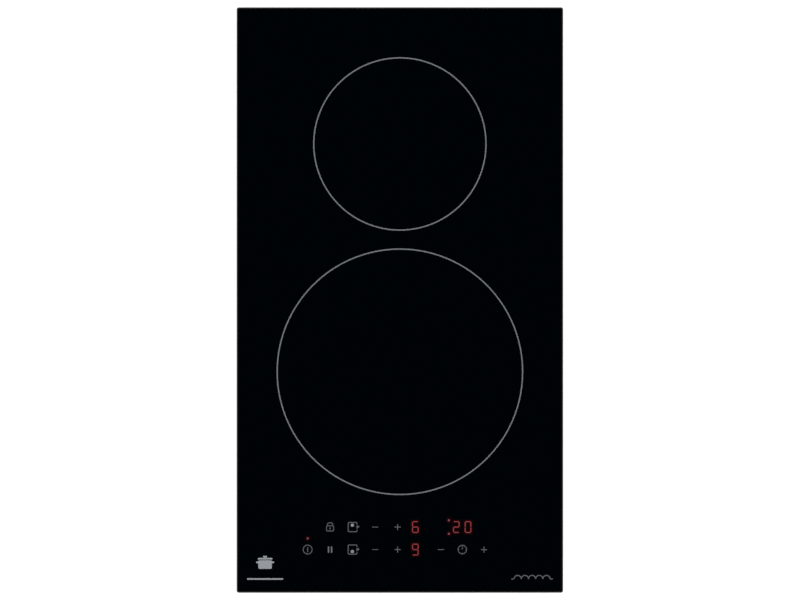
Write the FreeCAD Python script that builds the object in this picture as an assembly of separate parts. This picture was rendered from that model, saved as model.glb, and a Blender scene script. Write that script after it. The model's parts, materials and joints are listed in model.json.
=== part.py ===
"""Built-in induction cooktop with two zones, one behind the other, and touch controls at the front.

Millimetres. The origin is the centre of the glass in plan, on the worktop's upper face, where the seal rests.
+Z is up, -Y is towards the user and +X is the user's right. One STEP file is written for each separate piece.
"""

import FreeCAD
import Part
import math
import os

Vec = FreeCAD.Vector
UP = Vec(0, 0, 1)
RIGHT = Vec(1, 0, 0)
REAR = Vec(0, 1, 0)
PAST = 1.0  # cutters run this far past a face
SCREW_CLEARANCE = 0.05

# Glass, seal and worktop cut-out
GLASS_WIDTH = 290.0
GLASS_DEPTH = 520.0
GLASS_THICK = 4.0
GLASS_CORNER = 2.0
TOP_FACET = 0.9
LOWER_FACET = 0.4
OVERALL_HEIGHT = 54.0  # glass top to tray underside
SEAL_THICK = 2.0  # compressed
SEAL_WIDTH = 7.5
SEAL_INSET = 1.5  # from the glass edge
SIDE_LAP = 10.0  # glass beyond the cut-out, each side
END_LAP = 15.0  # glass beyond the cut-out, front and back
CUTOUT_GAP = 3.0  # between the frame and the cut-out

# Cooking zones and control field, measured from the glass's edges and its middle line
FRONT_ZONE_INSET = 196.3
REAR_ZONE_INSET = 121.4
FRONT_RING_R = 109.0
REAR_RING_R = 76.5
UPPER_ROW_INSET = 58.4
LOWER_ROW_INSET = 38.4
POWER_LED_INSET = 48.3
POWER_X = -81.9
LOCK_X = -62.0
ZONE_X = -42.0
MINUS_X = -22.0
PLUS_X = -2.0
LEVEL_X = 13.7
TIMER_MINUS_X = 36.5
TIMER_DOT_X = 43.5
TENS_X = 50.1
CLOCK_X = 55.4
UNITS_X = 60.5
TIMER_PLUS_X = 74.7
TIMER_DOT_RISE = 6.0  # each side of the upper row
SIDE_MARK_INSET = 25.3  # pot mark, from the left edge
COIL_MARK_INSET = 27.6  # coil mark, from the right edge
POT_MARK_INSET = 27.7  # from the front edge
RULE_INSET = 12.3  # rule and coil mark, from the front edge

# Print
INK_THICK = 0.1
RING_LINE = 1.05
SYMBOL_LINE = 0.75
THIN_LINE = 0.6
DIGIT_WIDTH = 5.0
DIGIT_HEIGHT = 9.6
SEGMENT_LINE = 0.95
SEGMENT_GAP = 0.25
LAMP_R = 0.9

# Sheet-metal case
SHEET = 0.8
FRAME_SHEET = 1.0
FRAME_FLANGE = 13.0
FRAME_CORNER = 3.0
SKIRT_DROP = 12.0
GLUE_THICK = 0.8
GLUE_WIDTH = 9.0
NEST_GAP = 0.2  # between the frame's skirt and the tray
TRAY_TOP_GAP = 1.0
BEND_R = 1.6
BEAD_WIDTH = 9.0
BEAD_PITCH = 65.0
BEAD_LENGTH = 150.0
BEAD_INSET = 88.0  # from the front wall
CROSS_BEAD_LENGTH = 90.0
CASE_SCREW_R = 1.45
CASE_SCREW_LENGTH = 6.0
CASE_SCREW_HEAD_R = 3.4
CASE_SCREW_HEAD = 1.9
CASE_SCREW_INSET = 60.0  # from the frame's corners
VENT_WIDTH = 2.2
VENT_PITCH = 5.0
VENT_HEIGHT = 14.0
VENT_RISE = 7.0  # above the tray's underside
VENT_MARGIN = 12.0  # to a corner, pocket or gland
SIDE_VENT_LENGTH = 66.0
SIDE_VENT_INSET = 92.0  # from the front wall
INTAKE_SLOT = 3.8
INTAKE_SPOKE = 3.4

# Coil units, from the glass downwards
INSULATOR_THICK = 0.8
WINDING_THICK = 3.2
LITZ_PITCH = 3.3
LITZ_CREST = 0.9
FRONT_WINDING_R = 92.0
FRONT_WINDING_INNER_R = 24.0
REAR_WINDING_R = 62.0
REAR_WINDING_INNER_R = 19.0
INSULATOR_RIM = 3.0  # beyond the winding
CARRIER_THICK = 1.6
CARRIER_RIM = 5.0  # beyond the winding
CARRIER_WALL = 1.6
FERRITE_THICK = 4.0
FERRITE_WIDTH = 12.0
FERRITE_INNER_INSET = 4.0
FERRITE_OUTER_INSET = 10.0
POCKET_WALL = 1.0
BOSS_PROUD = 0.4  # below the ferrites
BOSS_R = 4.5
PEG_R = 2.0
PEG_INSET = 1.0  # peg circle inside the winding's edge
PEG_CLEARANCE = 0.6
PEG_REACH = 2.0  # below the support plate
COIL_TRAVEL = 3.0
COIL_SPRING_LENGTH = 7.5
COIL_SPRING_WIRE_R = 0.45
COIL_SPRING_TURNS = 3.5
SPRING_CLEARANCE = 0.75  # between a peg and its spring
SENSOR_R = 6.0
SENSOR_STEM_R = 3.6
SENSOR_GAP = 2.0
LEAD_R = 1.4
LEAD_SPACING = 10.8
FRONT_LEAD_R = 70.0
REAR_LEAD_R = 46.0
FRONT_LEAD_DEG = 45.0
REAR_LEAD_DEG = 300.0
FRONT_LEAD_SHIFT = 5.0  # how far the leads lean in y on their way down
REAR_LEAD_SHIFT = -15.0

# Support plate and pillars
PLATE_THICK = 1.5
PLATE_GAP = 1.0
PLATE_LIP = 5.0
PLATE_HOLE_R = 7.0
PLATE_HOLE_CIRCLE = 34.0
PILLAR_R = 4.0
PILLAR_INSET = 12.0
PILLAR_LEAD = 30.0  # front pillars, ahead of the power board
PLATE_SCREW_R = 1.9
SMALL_SCREW_R = 1.4

# Control unit
CONTROL_WIDTH = 190.0
CONTROL_DEPTH = 42.0
CONTROL_X = -3.5
BOARD_THICK = 1.6
BOARD_GAP = 0.3
TOUCH_GAP = 8.0  # control board to glass
DISPLAY_GAP = 0.6  # display to glass
DISPLAY_WIDTH = 9.8
DISPLAY_DEPTH = 13.0
TOUCH_PAD = 0.4
TOUCH_PAD_R = 4.5
TOUCH_SPRING_R = 3.0
TOUCH_SPRING_WIRE_R = 0.3
TOUCH_SPRING_TURNS = 4
HOLDER_SHEET = 1.4
HOLDER_RIB = 1.6
HOLDER_RIM = 4.5
HOLDER_LEDGE = 3.0
CONTROL_TRAVEL = 2.0
CONTROL_PEG_R = 1.5
CONTROL_PEG_INSET = 10.0
CONTROL_SPRING_WIRE_R = 0.3
CONTROL_SPRING_TURNS = 3
RIBBON_X = 60.0
RIBBON_WIDTH = 14.0
RIBBON_THICK = 1.0
RIBBON_INSET = 10.0  # behind the middle of the control board

# Blower
DECK_GAP = 1.2  # from the lowest peg position down to the blower and the components
BLOWER_WALL = 1.6
BLOWER_GAP = 3.0  # housing to the tray's left wall
BLOWER_BACK_INSET = 80.0  # impeller axis from the tray's rear wall
SCROLL_START_R = 44.0
SCROLL_END_R = 58.0
SCROLL_TONGUE_DEG = -120.0
SCROLL_END_DEG = 180.0
OUTLET_REACH = 52.0
INLET_R = 31.0
INLET_LIP = 1.4
IMPELLER_R = 40.0
BLADE_INNER_R = 32.0
BLADE_BOW_R = 10.0
BLADE_THICK = 0.9
BLADE_COUNT = 28
BLADE_RISE = 4.4  # blades above the tray floor
HUB_R = 17.0
HUB_WALL = 1.4
HUB_DROP = 4.4  # top of the hub below the cover's top
SHAFT_R = 1.5
STATOR_CLEARANCE = 0.05  # filled with adhesive
SHAFT_CLEARANCE = 0.03
BUSH_WALL = 1.1
BUSH_LENGTH = 10.0
BUSH_DROP = 2.4
MOTOR_TUBE_WALL = 1.6
HUB_FLOOR = 3.6  # hub below the bush
ROTOR_GAP = 0.6
MAGNET_THICK = 1.6
AIR_GAP = 1.4  # stator to magnet
LUG_R = 4.2
LUG_OFFSET = 3.8

# Power electronics
HOLDER_PLATE = 1.2
STANDOFF = 2.5
POWER_BOARD_GAP = 4.0  # board to the tray's side walls
POWER_BOARD_FRONT_INSET = 120.0  # from the tray's front wall
BOARD_TO_BLOWER = 10.0
BOARD_SCREW_INSET = 5.0
FRONT_MID_SCREW_X = 14.0
REAR_MID_SCREW_X = -20.0
SOCKET_HEIGHT = 6.0
POST_HEIGHT = 5.0
SOCKET_INSET = 8.0
HEATSINK_WIDTH = 40.0
HEATSINK_LENGTH = 166.0
HEATSINK_WALL = 3.0
FIN_THICK = 1.2
FIN_PITCH = 3.9
TRANSISTOR_WIDTH = 15.8
RECTIFIER_WIDTH = 22.0
TRANSISTOR_THICK = 5.0
TRANSISTOR_LEG = 3.0
TRANSISTOR_PITCH = 29.0
TRANSISTOR_COUNT = 4
CLIP_THICK = 0.8
CLIP_HALF = 4.0
CHOKE_RING_R = 11.5
CHOKE_CORE_R = 4.0
CHOKE_WIRE_R = 0.75
CHOKE_TURNS = 22
CHOKE_INSET = 26.0
BIG_CAP_WIDTH = 42.0
BIG_CAP_DEPTH = 20.0
BIG_CAP_PITCH = 26.0
BIG_CAP_COUNT = 3
BIG_CAP_INSET = 30.0
BIG_CAP_Y = -12.0
LINK_CAP_WIDTH = 32.0
LINK_CAP_DEPTH = 14.0
LINK_CAP_PITCH = 22.0
LINK_CAP_X = 16.0
LINK_CAP_Y = -62.0
FILTER_CAP_INSET = 66.0
FILTER_CAP_Y = 64.0
SMALL_CAP_WIDTH = 18.0
SMALL_CAP_DEPTH = 8.0
BULK_CAP_R = 8.0
SUPPLY_CAP_R = 5.0
SUPPLY_CAP_PITCH = 14.0
SUPPLY_INSET = 42.0  # supply parts, right of the heat sink
RELAY_WIDTH = 29.0
RELAY_DEPTH = 12.6
RELAY_INSET = 22.0
RELAY_Y = 26.0
TRANSFORMER_WIDTH = 24.0
TRANSFORMER_Y = 52.0
MAINS_INSET = 34.0
MAINS_PITCH = 8.0
MAINS_WIRE_R = 1.3
FAN_SOCKET_X = -50.0
FAN_WIRE_R = 0.7

# Mains terminal
TERMINAL_RIGHT_INSET = 38.0  # terminal centre from the tray's right wall
TERMINAL_BACK_INSET = 32.0
BAY_WIDTH = 56.0
BAY_DEPTH = 42.0
BAY_HEIGHT = 21.0
BAY_WALL = 1.6
BAY_FLANGE = 4.0
COVER_THICK = 1.6
COVER_GAP = 0.3
COVER_RECESS = 0.1
COVER_LIP = 3.4
HINGE_R = 1.9
TRUNNION_R = 0.8
TRUNNION_CLEARANCE = 0.06
BLOCK_WIDTH = 50.0
BLOCK_DEPTH = 15.0
BLOCK_HEIGHT = 11.0
BLOCK_OFFSET = 7.0  # ahead of the bay's middle
WAY_PITCH = 10.0
WAYS = 5
GLAND_BORE_R = 5.5
GLAND_WALL = 2.0
GLAND_FLANGE = 2.0
GLAND_RISE = 10.2  # cord axis above the tray floor
CORD_CLAMP_WIDTH = 32.0
CORD_CLAMP_DEPTH = 7.0
CORD_CLAMP_THICK = 3.0
CORD_CLAMP_OFFSET = 12.0  # behind the bay's middle
CORD_CLEARANCE = 0.1

# Worktop clamps
POCKET_DEPTH = 21.0
POCKET_LEFT = 19.0  # from the middle of the tray's front wall
POCKET_RIGHT = 21.0
CLAMP_X = 8.0  # screw to the middle
CLAMP_INSET = 10.0  # screw to the tray's end wall
CLAMP_SCREW_R = 2.45
CLAMP_HEAD_R = 4.4
CLAMP_HEAD_THICK = 3.0
CLAMP_HEAD_SINK = 1.0  # head above the tray's underside
CLAMP_COLLAR = 4.0
CLAMP_COLLAR_WALL = 1.25
CLAMP_TIP_PROUD = 1.0
CLAMP_TIP_GAP = 0.4
ARM_THICK = 2.0
ARM_WIDTH = 13.0
ARM_REACH = 25.0
ARM_TIP_RISE = 3.5
ARM_HEADROOM = 4.5  # above the raised arm's tip
ARM_CLEARANCE = 0.3

# Plan sizes worked out from the values above
FRAME_WIDTH = GLASS_WIDTH - 2 * (SIDE_LAP + CUTOUT_GAP)
FRAME_DEPTH = GLASS_DEPTH - 2 * (END_LAP + CUTOUT_GAP)
TRAY_WIDTH = FRAME_WIDTH - 2 * (FRAME_SHEET + NEST_GAP)
TRAY_DEPTH = FRAME_DEPTH - 2 * (FRAME_SHEET + NEST_GAP)
INNER_X = TRAY_WIDTH / 2 - SHEET
INNER_Y = TRAY_DEPTH / 2 - SHEET
FRONT_EDGE = -GLASS_DEPTH / 2
FRONT_ZONE_Y = FRONT_EDGE + FRONT_ZONE_INSET
REAR_ZONE_Y = GLASS_DEPTH / 2 - REAR_ZONE_INSET
UPPER_ROW_Y = FRONT_EDGE + UPPER_ROW_INSET
LOWER_ROW_Y = FRONT_EDGE + LOWER_ROW_INSET
POWER_LED_Y = FRONT_EDGE + POWER_LED_INSET
CONTROL_Y = (UPPER_ROW_Y + LOWER_ROW_Y) / 2
RIBBON_Y = CONTROL_Y + RIBBON_INSET
BLOWER_X = -INNER_X + BLOWER_GAP + BLOWER_WALL + SCROLL_END_R
BLOWER_Y = INNER_Y - BLOWER_BACK_INSET
MOUTH_Y = BLOWER_Y - OUTLET_REACH
BOARD_LEFT = POWER_BOARD_GAP - INNER_X
BOARD_RIGHT = INNER_X - POWER_BOARD_GAP
BOARD_FRONT = POWER_BOARD_FRONT_INSET - INNER_Y
BOARD_BACK = MOUTH_Y - BOARD_TO_BLOWER
TERMINAL_X = INNER_X - TERMINAL_RIGHT_INSET
TERMINAL_Y = INNER_Y - TERMINAL_BACK_INSET
CLAMP_Y = TRAY_DEPTH / 2 - CLAMP_INSET

# Levels worked out from the values above
GLASS_UNDER = SEAL_THICK
GLASS_TOP = GLASS_UNDER + GLASS_THICK
INK_TOP = GLASS_TOP + INK_THICK
TRAY_UNDER = GLASS_TOP - OVERALL_HEIGHT
FLOOR_TOP = TRAY_UNDER + SHEET
FRAME_TOP = GLASS_UNDER - GLUE_THICK
FRAME_UNDER = FRAME_TOP - FRAME_SHEET
TRAY_TOP = FRAME_UNDER - TRAY_TOP_GAP
CASE_SCREW_Z = FRAME_UNDER - SKIRT_DROP / 2
INSULATOR_UNDER = GLASS_UNDER - INSULATOR_THICK
WINDING_UNDER = INSULATOR_UNDER - WINDING_THICK
CARRIER_UNDER = WINDING_UNDER - CARRIER_THICK
FERRITE_UNDER = CARRIER_UNDER - FERRITE_THICK
BOSS_UNDER = FERRITE_UNDER - BOSS_PROUD
PLATE_TOP = BOSS_UNDER - COIL_SPRING_LENGTH
PLATE_UNDER = PLATE_TOP - PLATE_THICK
PEG_UNDER = PLATE_UNDER - PEG_REACH
BLOWER_TOP = PEG_UNDER - COIL_TRAVEL - DECK_GAP
CONTROL_BOARD_TOP = GLASS_UNDER - TOUCH_GAP
CONTROL_BOARD_UNDER = CONTROL_BOARD_TOP - BOARD_THICK
CONTROL_HOLDER_UNDER = CONTROL_BOARD_UNDER - HOLDER_RIB - HOLDER_SHEET
CLAMP_TIP_LIMIT = CONTROL_HOLDER_UNDER - CONTROL_TRAVEL - CLAMP_TIP_GAP
CLAMP_HEAD_UNDER = TRAY_UNDER + CLAMP_HEAD_SINK
ARM_UNDER = CLAMP_HEAD_UNDER + CLAMP_HEAD_THICK
ARM_TIP_TOP = ARM_UNDER + ARM_THICK + ARM_TIP_RISE
POCKET_TOP = (CLAMP_TIP_LIMIT - CLAMP_TIP_PROUD + ARM_TIP_TOP + ARM_HEADROOM) / 2
POWER_BOARD_UNDER = FLOOR_TOP + SHEET + HOLDER_PLATE + STANDOFF
POWER_BOARD_TOP = POWER_BOARD_UNDER + BOARD_THICK
COMPONENT_HEIGHT = BLOWER_TOP - POWER_BOARD_TOP
BUSH_TOP = BLOWER_TOP - BUSH_DROP
BUSH_UNDER = BUSH_TOP - BUSH_LENGTH
HUB_TOP = BLOWER_TOP - HUB_DROP
HUB_UNDER = BUSH_UNDER - HUB_FLOOR
BLADE_UNDER = FLOOR_TOP + BLADE_RISE
BAY_CEILING = FLOOR_TOP + BAY_HEIGHT - BAY_WALL
GLAND_Z = FLOOR_TOP + GLAND_RISE
HINGE_Y = TERMINAL_Y - BAY_DEPTH / 2 + COVER_GAP + HINGE_R
HINGE_Z = TRAY_UNDER + COVER_RECESS + HINGE_R

# Radii and places worked out from the values above
BUSH_BORE_R = SHAFT_R + SHAFT_CLEARANCE
BUSH_R = BUSH_BORE_R + BUSH_WALL
MOTOR_TUBE_R = BUSH_R + MOTOR_TUBE_WALL
STATOR_R = HUB_R - HUB_WALL - MAGNET_THICK - AIR_GAP
SOCKET_Y = BOARD_FRONT + SOCKET_INSET
HEATSINK_LEFT = BLOWER_X - SCROLL_END_R + PAST
HEATSINK_RIGHT = HEATSINK_LEFT + HEATSINK_WIDTH
HEATSINK_BACK = BOARD_BACK - 2 * BOARD_SCREW_INSET
CLIP_X = HEATSINK_RIGHT + TRANSISTOR_THICK
CLIP_Z = POWER_BOARD_TOP + COMPONENT_HEIGHT / 2
FIRST_TRANSISTOR_Y = HEATSINK_BACK - RECTIFIER_WIDTH
SUPPLY_X = HEATSINK_RIGHT + SUPPLY_INSET
MAINS_X = BOARD_RIGHT - MAINS_INSET
REAR_SOCKET_Y = BOARD_BACK - SOCKET_INSET
CORD_CLAMP_Y = TERMINAL_Y + CORD_CLAMP_OFFSET
CORD_CLAMP_UNDER = GLAND_Z - GLAND_BORE_R - CORD_CLAMP_THICK / 6


# ---------- Small solids ----------


def block(x0, x1, y0, y1, z0, z1):
    """Box between two corners."""
    return Part.makeBox(x1 - x0, y1 - y0, z1 - z0, Vec(x0, y0, z0))


def centred(cx, cy, width, depth, z0, z1):
    """Box centred on (cx, cy) in plan."""
    return block(cx - width / 2, cx + width / 2, cy - depth / 2, cy + depth / 2, z0, z1)


def disc(cx, cy, radius, z0, z1):
    return Part.makeCylinder(radius, z1 - z0, Vec(cx, cy, z0))


def bar_x(radius, x0, x1, y, z):
    """Round bar along X."""
    return Part.makeCylinder(radius, x1 - x0, Vec(x0, y, z), RIGHT)


def bar_y(radius, y0, y1, x, z):
    """Round bar along Y."""
    return Part.makeCylinder(radius, y1 - y0, Vec(x, y0, z), REAR)


def tube(cx, cy, outer, inner, z0, z1):
    return disc(cx, cy, outer, z0, z1).cut(disc(cx, cy, inner, z0 - PAST, z1 + PAST))


def fuse(solids):
    solids = list(solids)
    return solids[0].multiFuse(solids[1:]).removeSplitter()


def turned(shape, degrees, centre=Vec(0, 0, 0), axis=UP):
    copy = shape.copy()
    copy.rotate(centre, axis, degrees)
    return copy


def moved(shape, x=0.0, y=0.0, z=0.0):
    copy = shape.copy()
    copy.translate(Vec(x, y, z))
    return copy


def upright_edges(solid):
    return [e for e in solid.Edges if abs(e.tangentAt(e.FirstParameter).z) > math.cos(0.1)]


def edges_at(solid, level):
    """Edges that lie in one level plane."""
    return [e for e in solid.Edges if abs(e.BoundBox.ZMin - level) + abs(e.BoundBox.ZMax - level) < 0.01]


def rounded(cx, cy, width, depth, corner, z0, z1):
    """Upright prism with round corners."""
    solid = centred(cx, cy, width, depth, z0, z1)
    return solid.makeFillet(corner, upright_edges(solid))


def frame_ring(width, depth, corner, band, z0, z1):
    """Flat rectangular ring with round corners."""
    inner_corner = max(corner - band, corner / 2)
    inner = rounded(0, 0, width - 2 * band, depth - 2 * band, inner_corner, z0 - PAST, z1 + PAST)
    return rounded(0, 0, width, depth, corner, z0, z1).cut(inner)


def prism(points, z0, z1):
    """Upright prism on a closed outline of (x, y) points."""
    outline = [Vec(x, y, z0) for x, y in points]
    return Part.Face(Part.makePolygon(outline + outline[:1])).extrude(UP * (z1 - z0))


def polar(cx, cy, radius, degrees):
    angle = math.radians(degrees)
    return cx + radius * math.cos(angle), cy + radius * math.sin(angle)


def spaced(first, last, pitch):
    """Evenly spaced places from the first one up to the last."""
    return [first + pitch * k for k in range(int((last - first) / pitch) + 1)]


def line(start, end):
    return Part.LineSegment(start, end).toShape()


def arc(start, middle, end):
    return Part.Arc(start, middle, end).toShape()


def coil_spring(cx, cy, z0, z1, mean_r, wire_r, turns):
    """Round-wire compression spring between two levels, its helix a chain of quarter turns."""
    rise = (z1 - z0 - 2 * wire_r) / (4 * turns)
    quarters = []
    for k in range(round(4 * turns)):
        quarter = Part.makeHelix(4 * rise, rise, mean_r)
        quarters += moved(turned(quarter, 90 * k), z=rise * k).Edges
    along = Vec(0, math.pi * mean_r / 2, rise)
    section = Part.Wire(Part.Circle(Vec(mean_r, 0, 0), along, wire_r).toShape())
    spring = Part.Wire(quarters).makePipeShell([section], True, True)
    return moved(spring, cx, cy, z0 + wire_r)


def bent_path(points):
    """Straight runs joined by tangent arcs, each as large as its two runs allow."""
    edges = []
    start = points[0]
    for before, corner, after in zip(points, points[1:], points[2:]):
        arriving = corner - before
        leaving = after - corner
        setback = 0.45 * min(arriving.Length, leaving.Length)
        arriving.normalize()
        leaving.normalize()
        half_turn = arriving.getAngle(leaving) / 2
        radius = setback / math.tan(half_turn)
        inward = (leaving - arriving).normalize()
        begin = corner - arriving * setback
        end = corner + leaving * setback
        middle = corner + inward * (radius / math.cos(half_turn) - radius)
        edges += [line(start, begin), arc(begin, middle, end)]
        start = end
    return Part.Wire(edges + [line(start, points[-1])])


def wire_along(points, radius):
    """Round wire that follows a bent path."""
    points = [Vec(*p) for p in points]
    section = Part.Wire(Part.Circle(points[0], points[1] - points[0], radius).toShape())
    return bent_path(points).makePipeShell([section], True, False)


def pan_screw(x, y, seat, shank_r, length):
    """Upright pan-head screw with a cross recess, its head on the seat level."""
    head_r = 1.9 * shank_r
    head_top = seat + 1.2 * shank_r
    head = disc(x, y, head_r, seat, head_top)
    head = head.makeFillet(0.5 * shank_r, edges_at(head, head_top))
    arms = ((head_r, THIN_LINE), (THIN_LINE, head_r))
    recess = [centred(x, y, width, depth, seat + 0.5 * shank_r, head_top + PAST) for width, depth in arms]
    return fuse([head, disc(x, y, shank_r, seat - length, seat)]).cut(recess)


def both_ways(size):
    return -size, size


def save(name, shapes):
    """One STEP file for one piece, or for a group of identical pieces."""
    solids = [solid for shape in shapes for solid in shape.Solids]
    shape = solids[0] if len(solids) == 1 else Part.makeCompound(solids)
    shape.exportStep(os.path.join("parts", name + ".step"))
    state = "" if shape.isValid() else ", not valid"
    print(f"{name}: {len(solids)} solids, {shape.Volume / 1000:.2f} cm3{state}")


# ---------- Glass, print, seal and frame ----------


def glass_plate():
    """Plate with ground facets round its upper and lower edges."""
    plate = rounded(0, 0, GLASS_WIDTH, GLASS_DEPTH, GLASS_CORNER, GLASS_UNDER, GLASS_TOP)
    plate = plate.makeChamfer(TOP_FACET, edges_at(plate, GLASS_TOP))
    return plate.makeChamfer(LOWER_FACET, edges_at(plate, GLASS_UNDER))


def ink(x0, y0, x1, y1, width=SYMBOL_LINE):
    """Straight printed stroke between two points."""
    stroke = block(0, math.hypot(x1 - x0, y1 - y0), -width / 2, width / 2, GLASS_TOP, INK_TOP)
    stroke = turned(stroke, math.degrees(math.atan2(y1 - y0, x1 - x0)))
    return moved(stroke, x0, y0)


def ink_ring(cx, cy, radius, width=SYMBOL_LINE):
    return tube(cx, cy, radius + width / 2, radius - width / 2, GLASS_TOP, INK_TOP)


def ink_dot(cx, cy, radius):
    return disc(cx, cy, radius, GLASS_TOP, INK_TOP)


def ink_outline(cx, cy, width, depth, corner, stroke=SYMBOL_LINE):
    """Printed rectangle with round corners, measured along the middle of its line."""
    outer = rounded(cx, cy, width + stroke, depth + stroke, corner + stroke / 2, GLASS_TOP, INK_TOP)
    hole_corner = corner - stroke / 2
    hole = rounded(cx, cy, width - stroke, depth - stroke, hole_corner, GLASS_TOP - PAST, INK_TOP + PAST)
    return outer.cut(hole)


def ink_window(cx, cy, width, depth):
    """Area that a printed shape is trimmed with."""
    return centred(cx, cy, width, depth, GLASS_TOP - PAST, INK_TOP + PAST)


def minus_symbol(cx, cy):
    half = 2.7
    return [ink(cx - half, cy, cx + half, cy, THIN_LINE)]


def plus_symbol(cx, cy):
    half = 2.7
    return [fuse(minus_symbol(cx, cy) + [ink(cx, cy - half, cx, cy + half, THIN_LINE)])]


def power_symbol(cx, cy):
    ring_r = 3.95
    return [ink_ring(cx, cy, ring_r), ink(cx, cy - 0.58 * ring_r, cx, cy + 0.58 * ring_r)]


def pause_symbol(cx, cy):
    half_gap = 1.35
    half_height = 2.8
    bar = 1.15
    return [ink(cx + dx, cy - half_height, cx + dx, cy + half_height, bar) for dx in both_ways(half_gap)]


def lock_symbol(cx, cy):
    """Padlock: a body outline, a shackle on top and a keyhole."""
    body_width = 6.2
    body_height = 4.6
    shackle_width = 4.6
    shackle_height = 5.4
    body_y = cy - 1.2
    body_top = body_y + body_height / 2
    body = ink_outline(cx, body_y, body_width, body_height, 0.8)
    shackle = ink_outline(cx, body_top, shackle_width, shackle_height, 1.6)
    shackle = shackle.common(ink_window(cx, body_top + shackle_height / 2, 2 * shackle_width, shackle_height))
    keyhole = ink(cx, body_y - 0.2 * body_height, cx, body_y + 0.2 * body_height, 0.95)
    return [fuse([body, shackle]), keyhole]


def zone_symbol(cx, cy, dot_rise):
    """Hob seen from above: a square open at its right with a small handle, and a dot for the zone."""
    width = 7.8
    depth = 8.2
    opening = 4.6
    handle_r = 1.0
    dot_r = 1.5
    square = ink_outline(cx, cy, width, depth, 0.9, 0.8)
    square = square.cut(ink_window(cx + width / 2, cy, width / 2, opening))
    stem = ink(cx + width / 2, cy - 0.3 * opening, cx + width / 2, cy + 0.3 * opening, 0.9)
    handle = fuse([stem, ink_dot(cx + width / 2 + handle_r, cy + handle_r / 3, handle_r)])
    return [square, handle, ink_dot(cx - 0.2, cy + dot_rise, dot_r)]


def clock_symbol(cx, cy):
    """Dial with four ticks and one upright hand."""
    dial_r = 3.8
    tick = ink(cx + 0.7 * dial_r, cy, cx + dial_r, cy, THIN_LINE)
    ticks = [turned(tick, 90 * k, Vec(cx, cy, 0)) for k in range(4)]
    return [fuse([ink_ring(cx, cy, dial_r), *ticks]), ink(cx, cy, cx, cy + 0.55 * dial_r)]


def pot_mark(cx, cy):
    """Plain cooking pot: a filled body with two handles under a lid with a knob."""
    body = rounded(cx, cy - 2.6, 12.0, 7.6, 1.2, GLASS_TOP, INK_TOP)
    handles = rounded(cx, cy - 0.6, 16.0, 1.6, 0.6, GLASS_TOP, INK_TOP)
    lid = rounded(cx, cy + 2.6, 13.0, 1.5, 0.6, GLASS_TOP, INK_TOP)
    knob = rounded(cx, cy + 4.4, 3.4, 1.5, 0.5, GLASS_TOP, INK_TOP)
    return [fuse([body, handles]), lid, knob]


def coil_mark(cx, cy):
    """Row of humps between two short leads, the general sign for a coil."""
    hump_r = 3.2
    stroke = 0.8
    lead = 2.4
    humps = []
    for k in range(-2, 3):
        x = cx + 2 * hump_r * k
        hump = ink_ring(x, cy, hump_r, stroke)
        humps.append(hump.common(ink_window(x, cy + hump_r, 3 * hump_r, 2 * hump_r)))
    ends = [ink(cx + 5 * s * hump_r, cy, cx + s * (5 * hump_r + lead), cy, stroke) for s in (-1, 1)]
    return [fuse(humps + ends)]


def glass_print():
    """The two zone circles, every symbol of the control field and the plain marks in the front corners."""
    upper = UPPER_ROW_Y
    lower = LOWER_ROW_Y
    mark_x = SIDE_MARK_INSET - GLASS_WIDTH / 2
    rule_half = 16.0
    rule_y = FRONT_EDGE + RULE_INSET
    zones = ((FRONT_ZONE_Y, FRONT_RING_R), (REAR_ZONE_Y, REAR_RING_R))
    marks = [ink_ring(0, y, radius, RING_LINE) for y, radius in zones]
    marks += power_symbol(POWER_X, lower) + pause_symbol(LOCK_X, lower) + lock_symbol(LOCK_X, upper)
    marks += zone_symbol(ZONE_X, upper, 1.7) + zone_symbol(ZONE_X, lower, -1.7)
    marks += minus_symbol(MINUS_X, upper) + minus_symbol(MINUS_X, lower) + minus_symbol(TIMER_MINUS_X, lower)
    marks += plus_symbol(PLUS_X, upper) + plus_symbol(PLUS_X, lower) + plus_symbol(TIMER_PLUS_X, lower)
    marks += clock_symbol(CLOCK_X, lower) + pot_mark(mark_x, FRONT_EDGE + POT_MARK_INSET)
    marks += coil_mark(GLASS_WIDTH / 2 - COIL_MARK_INSET, rule_y)
    marks.append(ink(mark_x - rule_half, rule_y, mark_x + rule_half, rule_y, 1.3))
    return marks


def segment(start, end, z0, z1):
    """Six-sided bar with pointed ends, one segment of a digit."""
    half = SEGMENT_LINE / 2
    along = (end - start).normalize()
    aside = UP.cross(along)
    near = start + along * half
    far = end - along * half
    corners = [start, near - aside * half, far - aside * half, end, far + aside * half, near + aside * half]
    return prism([(c.x, c.y) for c in corners], z0, z1)


def digit(cx, cy, lit, z0, z1):
    """The lit segments of one digit, named a to g in the usual order."""
    w = DIGIT_WIDTH / 2
    h = DIGIT_HEIGHT / 2
    g = SEGMENT_GAP
    ends = {
        "a": (Vec(g - w, h), Vec(w - g, h)),
        "b": (Vec(w, h - g), Vec(w, g)),
        "c": (Vec(w, -g), Vec(w, g - h)),
        "d": (Vec(g - w, -h), Vec(w - g, -h)),
        "e": (Vec(-w, -g), Vec(-w, g - h)),
        "f": (Vec(-w, h - g), Vec(-w, g)),
        "g": (Vec(g - w, 0), Vec(w - g, 0)),
    }
    return [moved(segment(*ends[key], z0, z1), cx, cy) for key in lit]


def lamp_places():
    """The timer's two dots and the power lamp."""
    dots = [(TIMER_DOT_X, UPPER_ROW_Y + rise) for rise in both_ways(TIMER_DOT_RISE)]
    return dots + [(POWER_X, POWER_LED_Y)]


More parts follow.
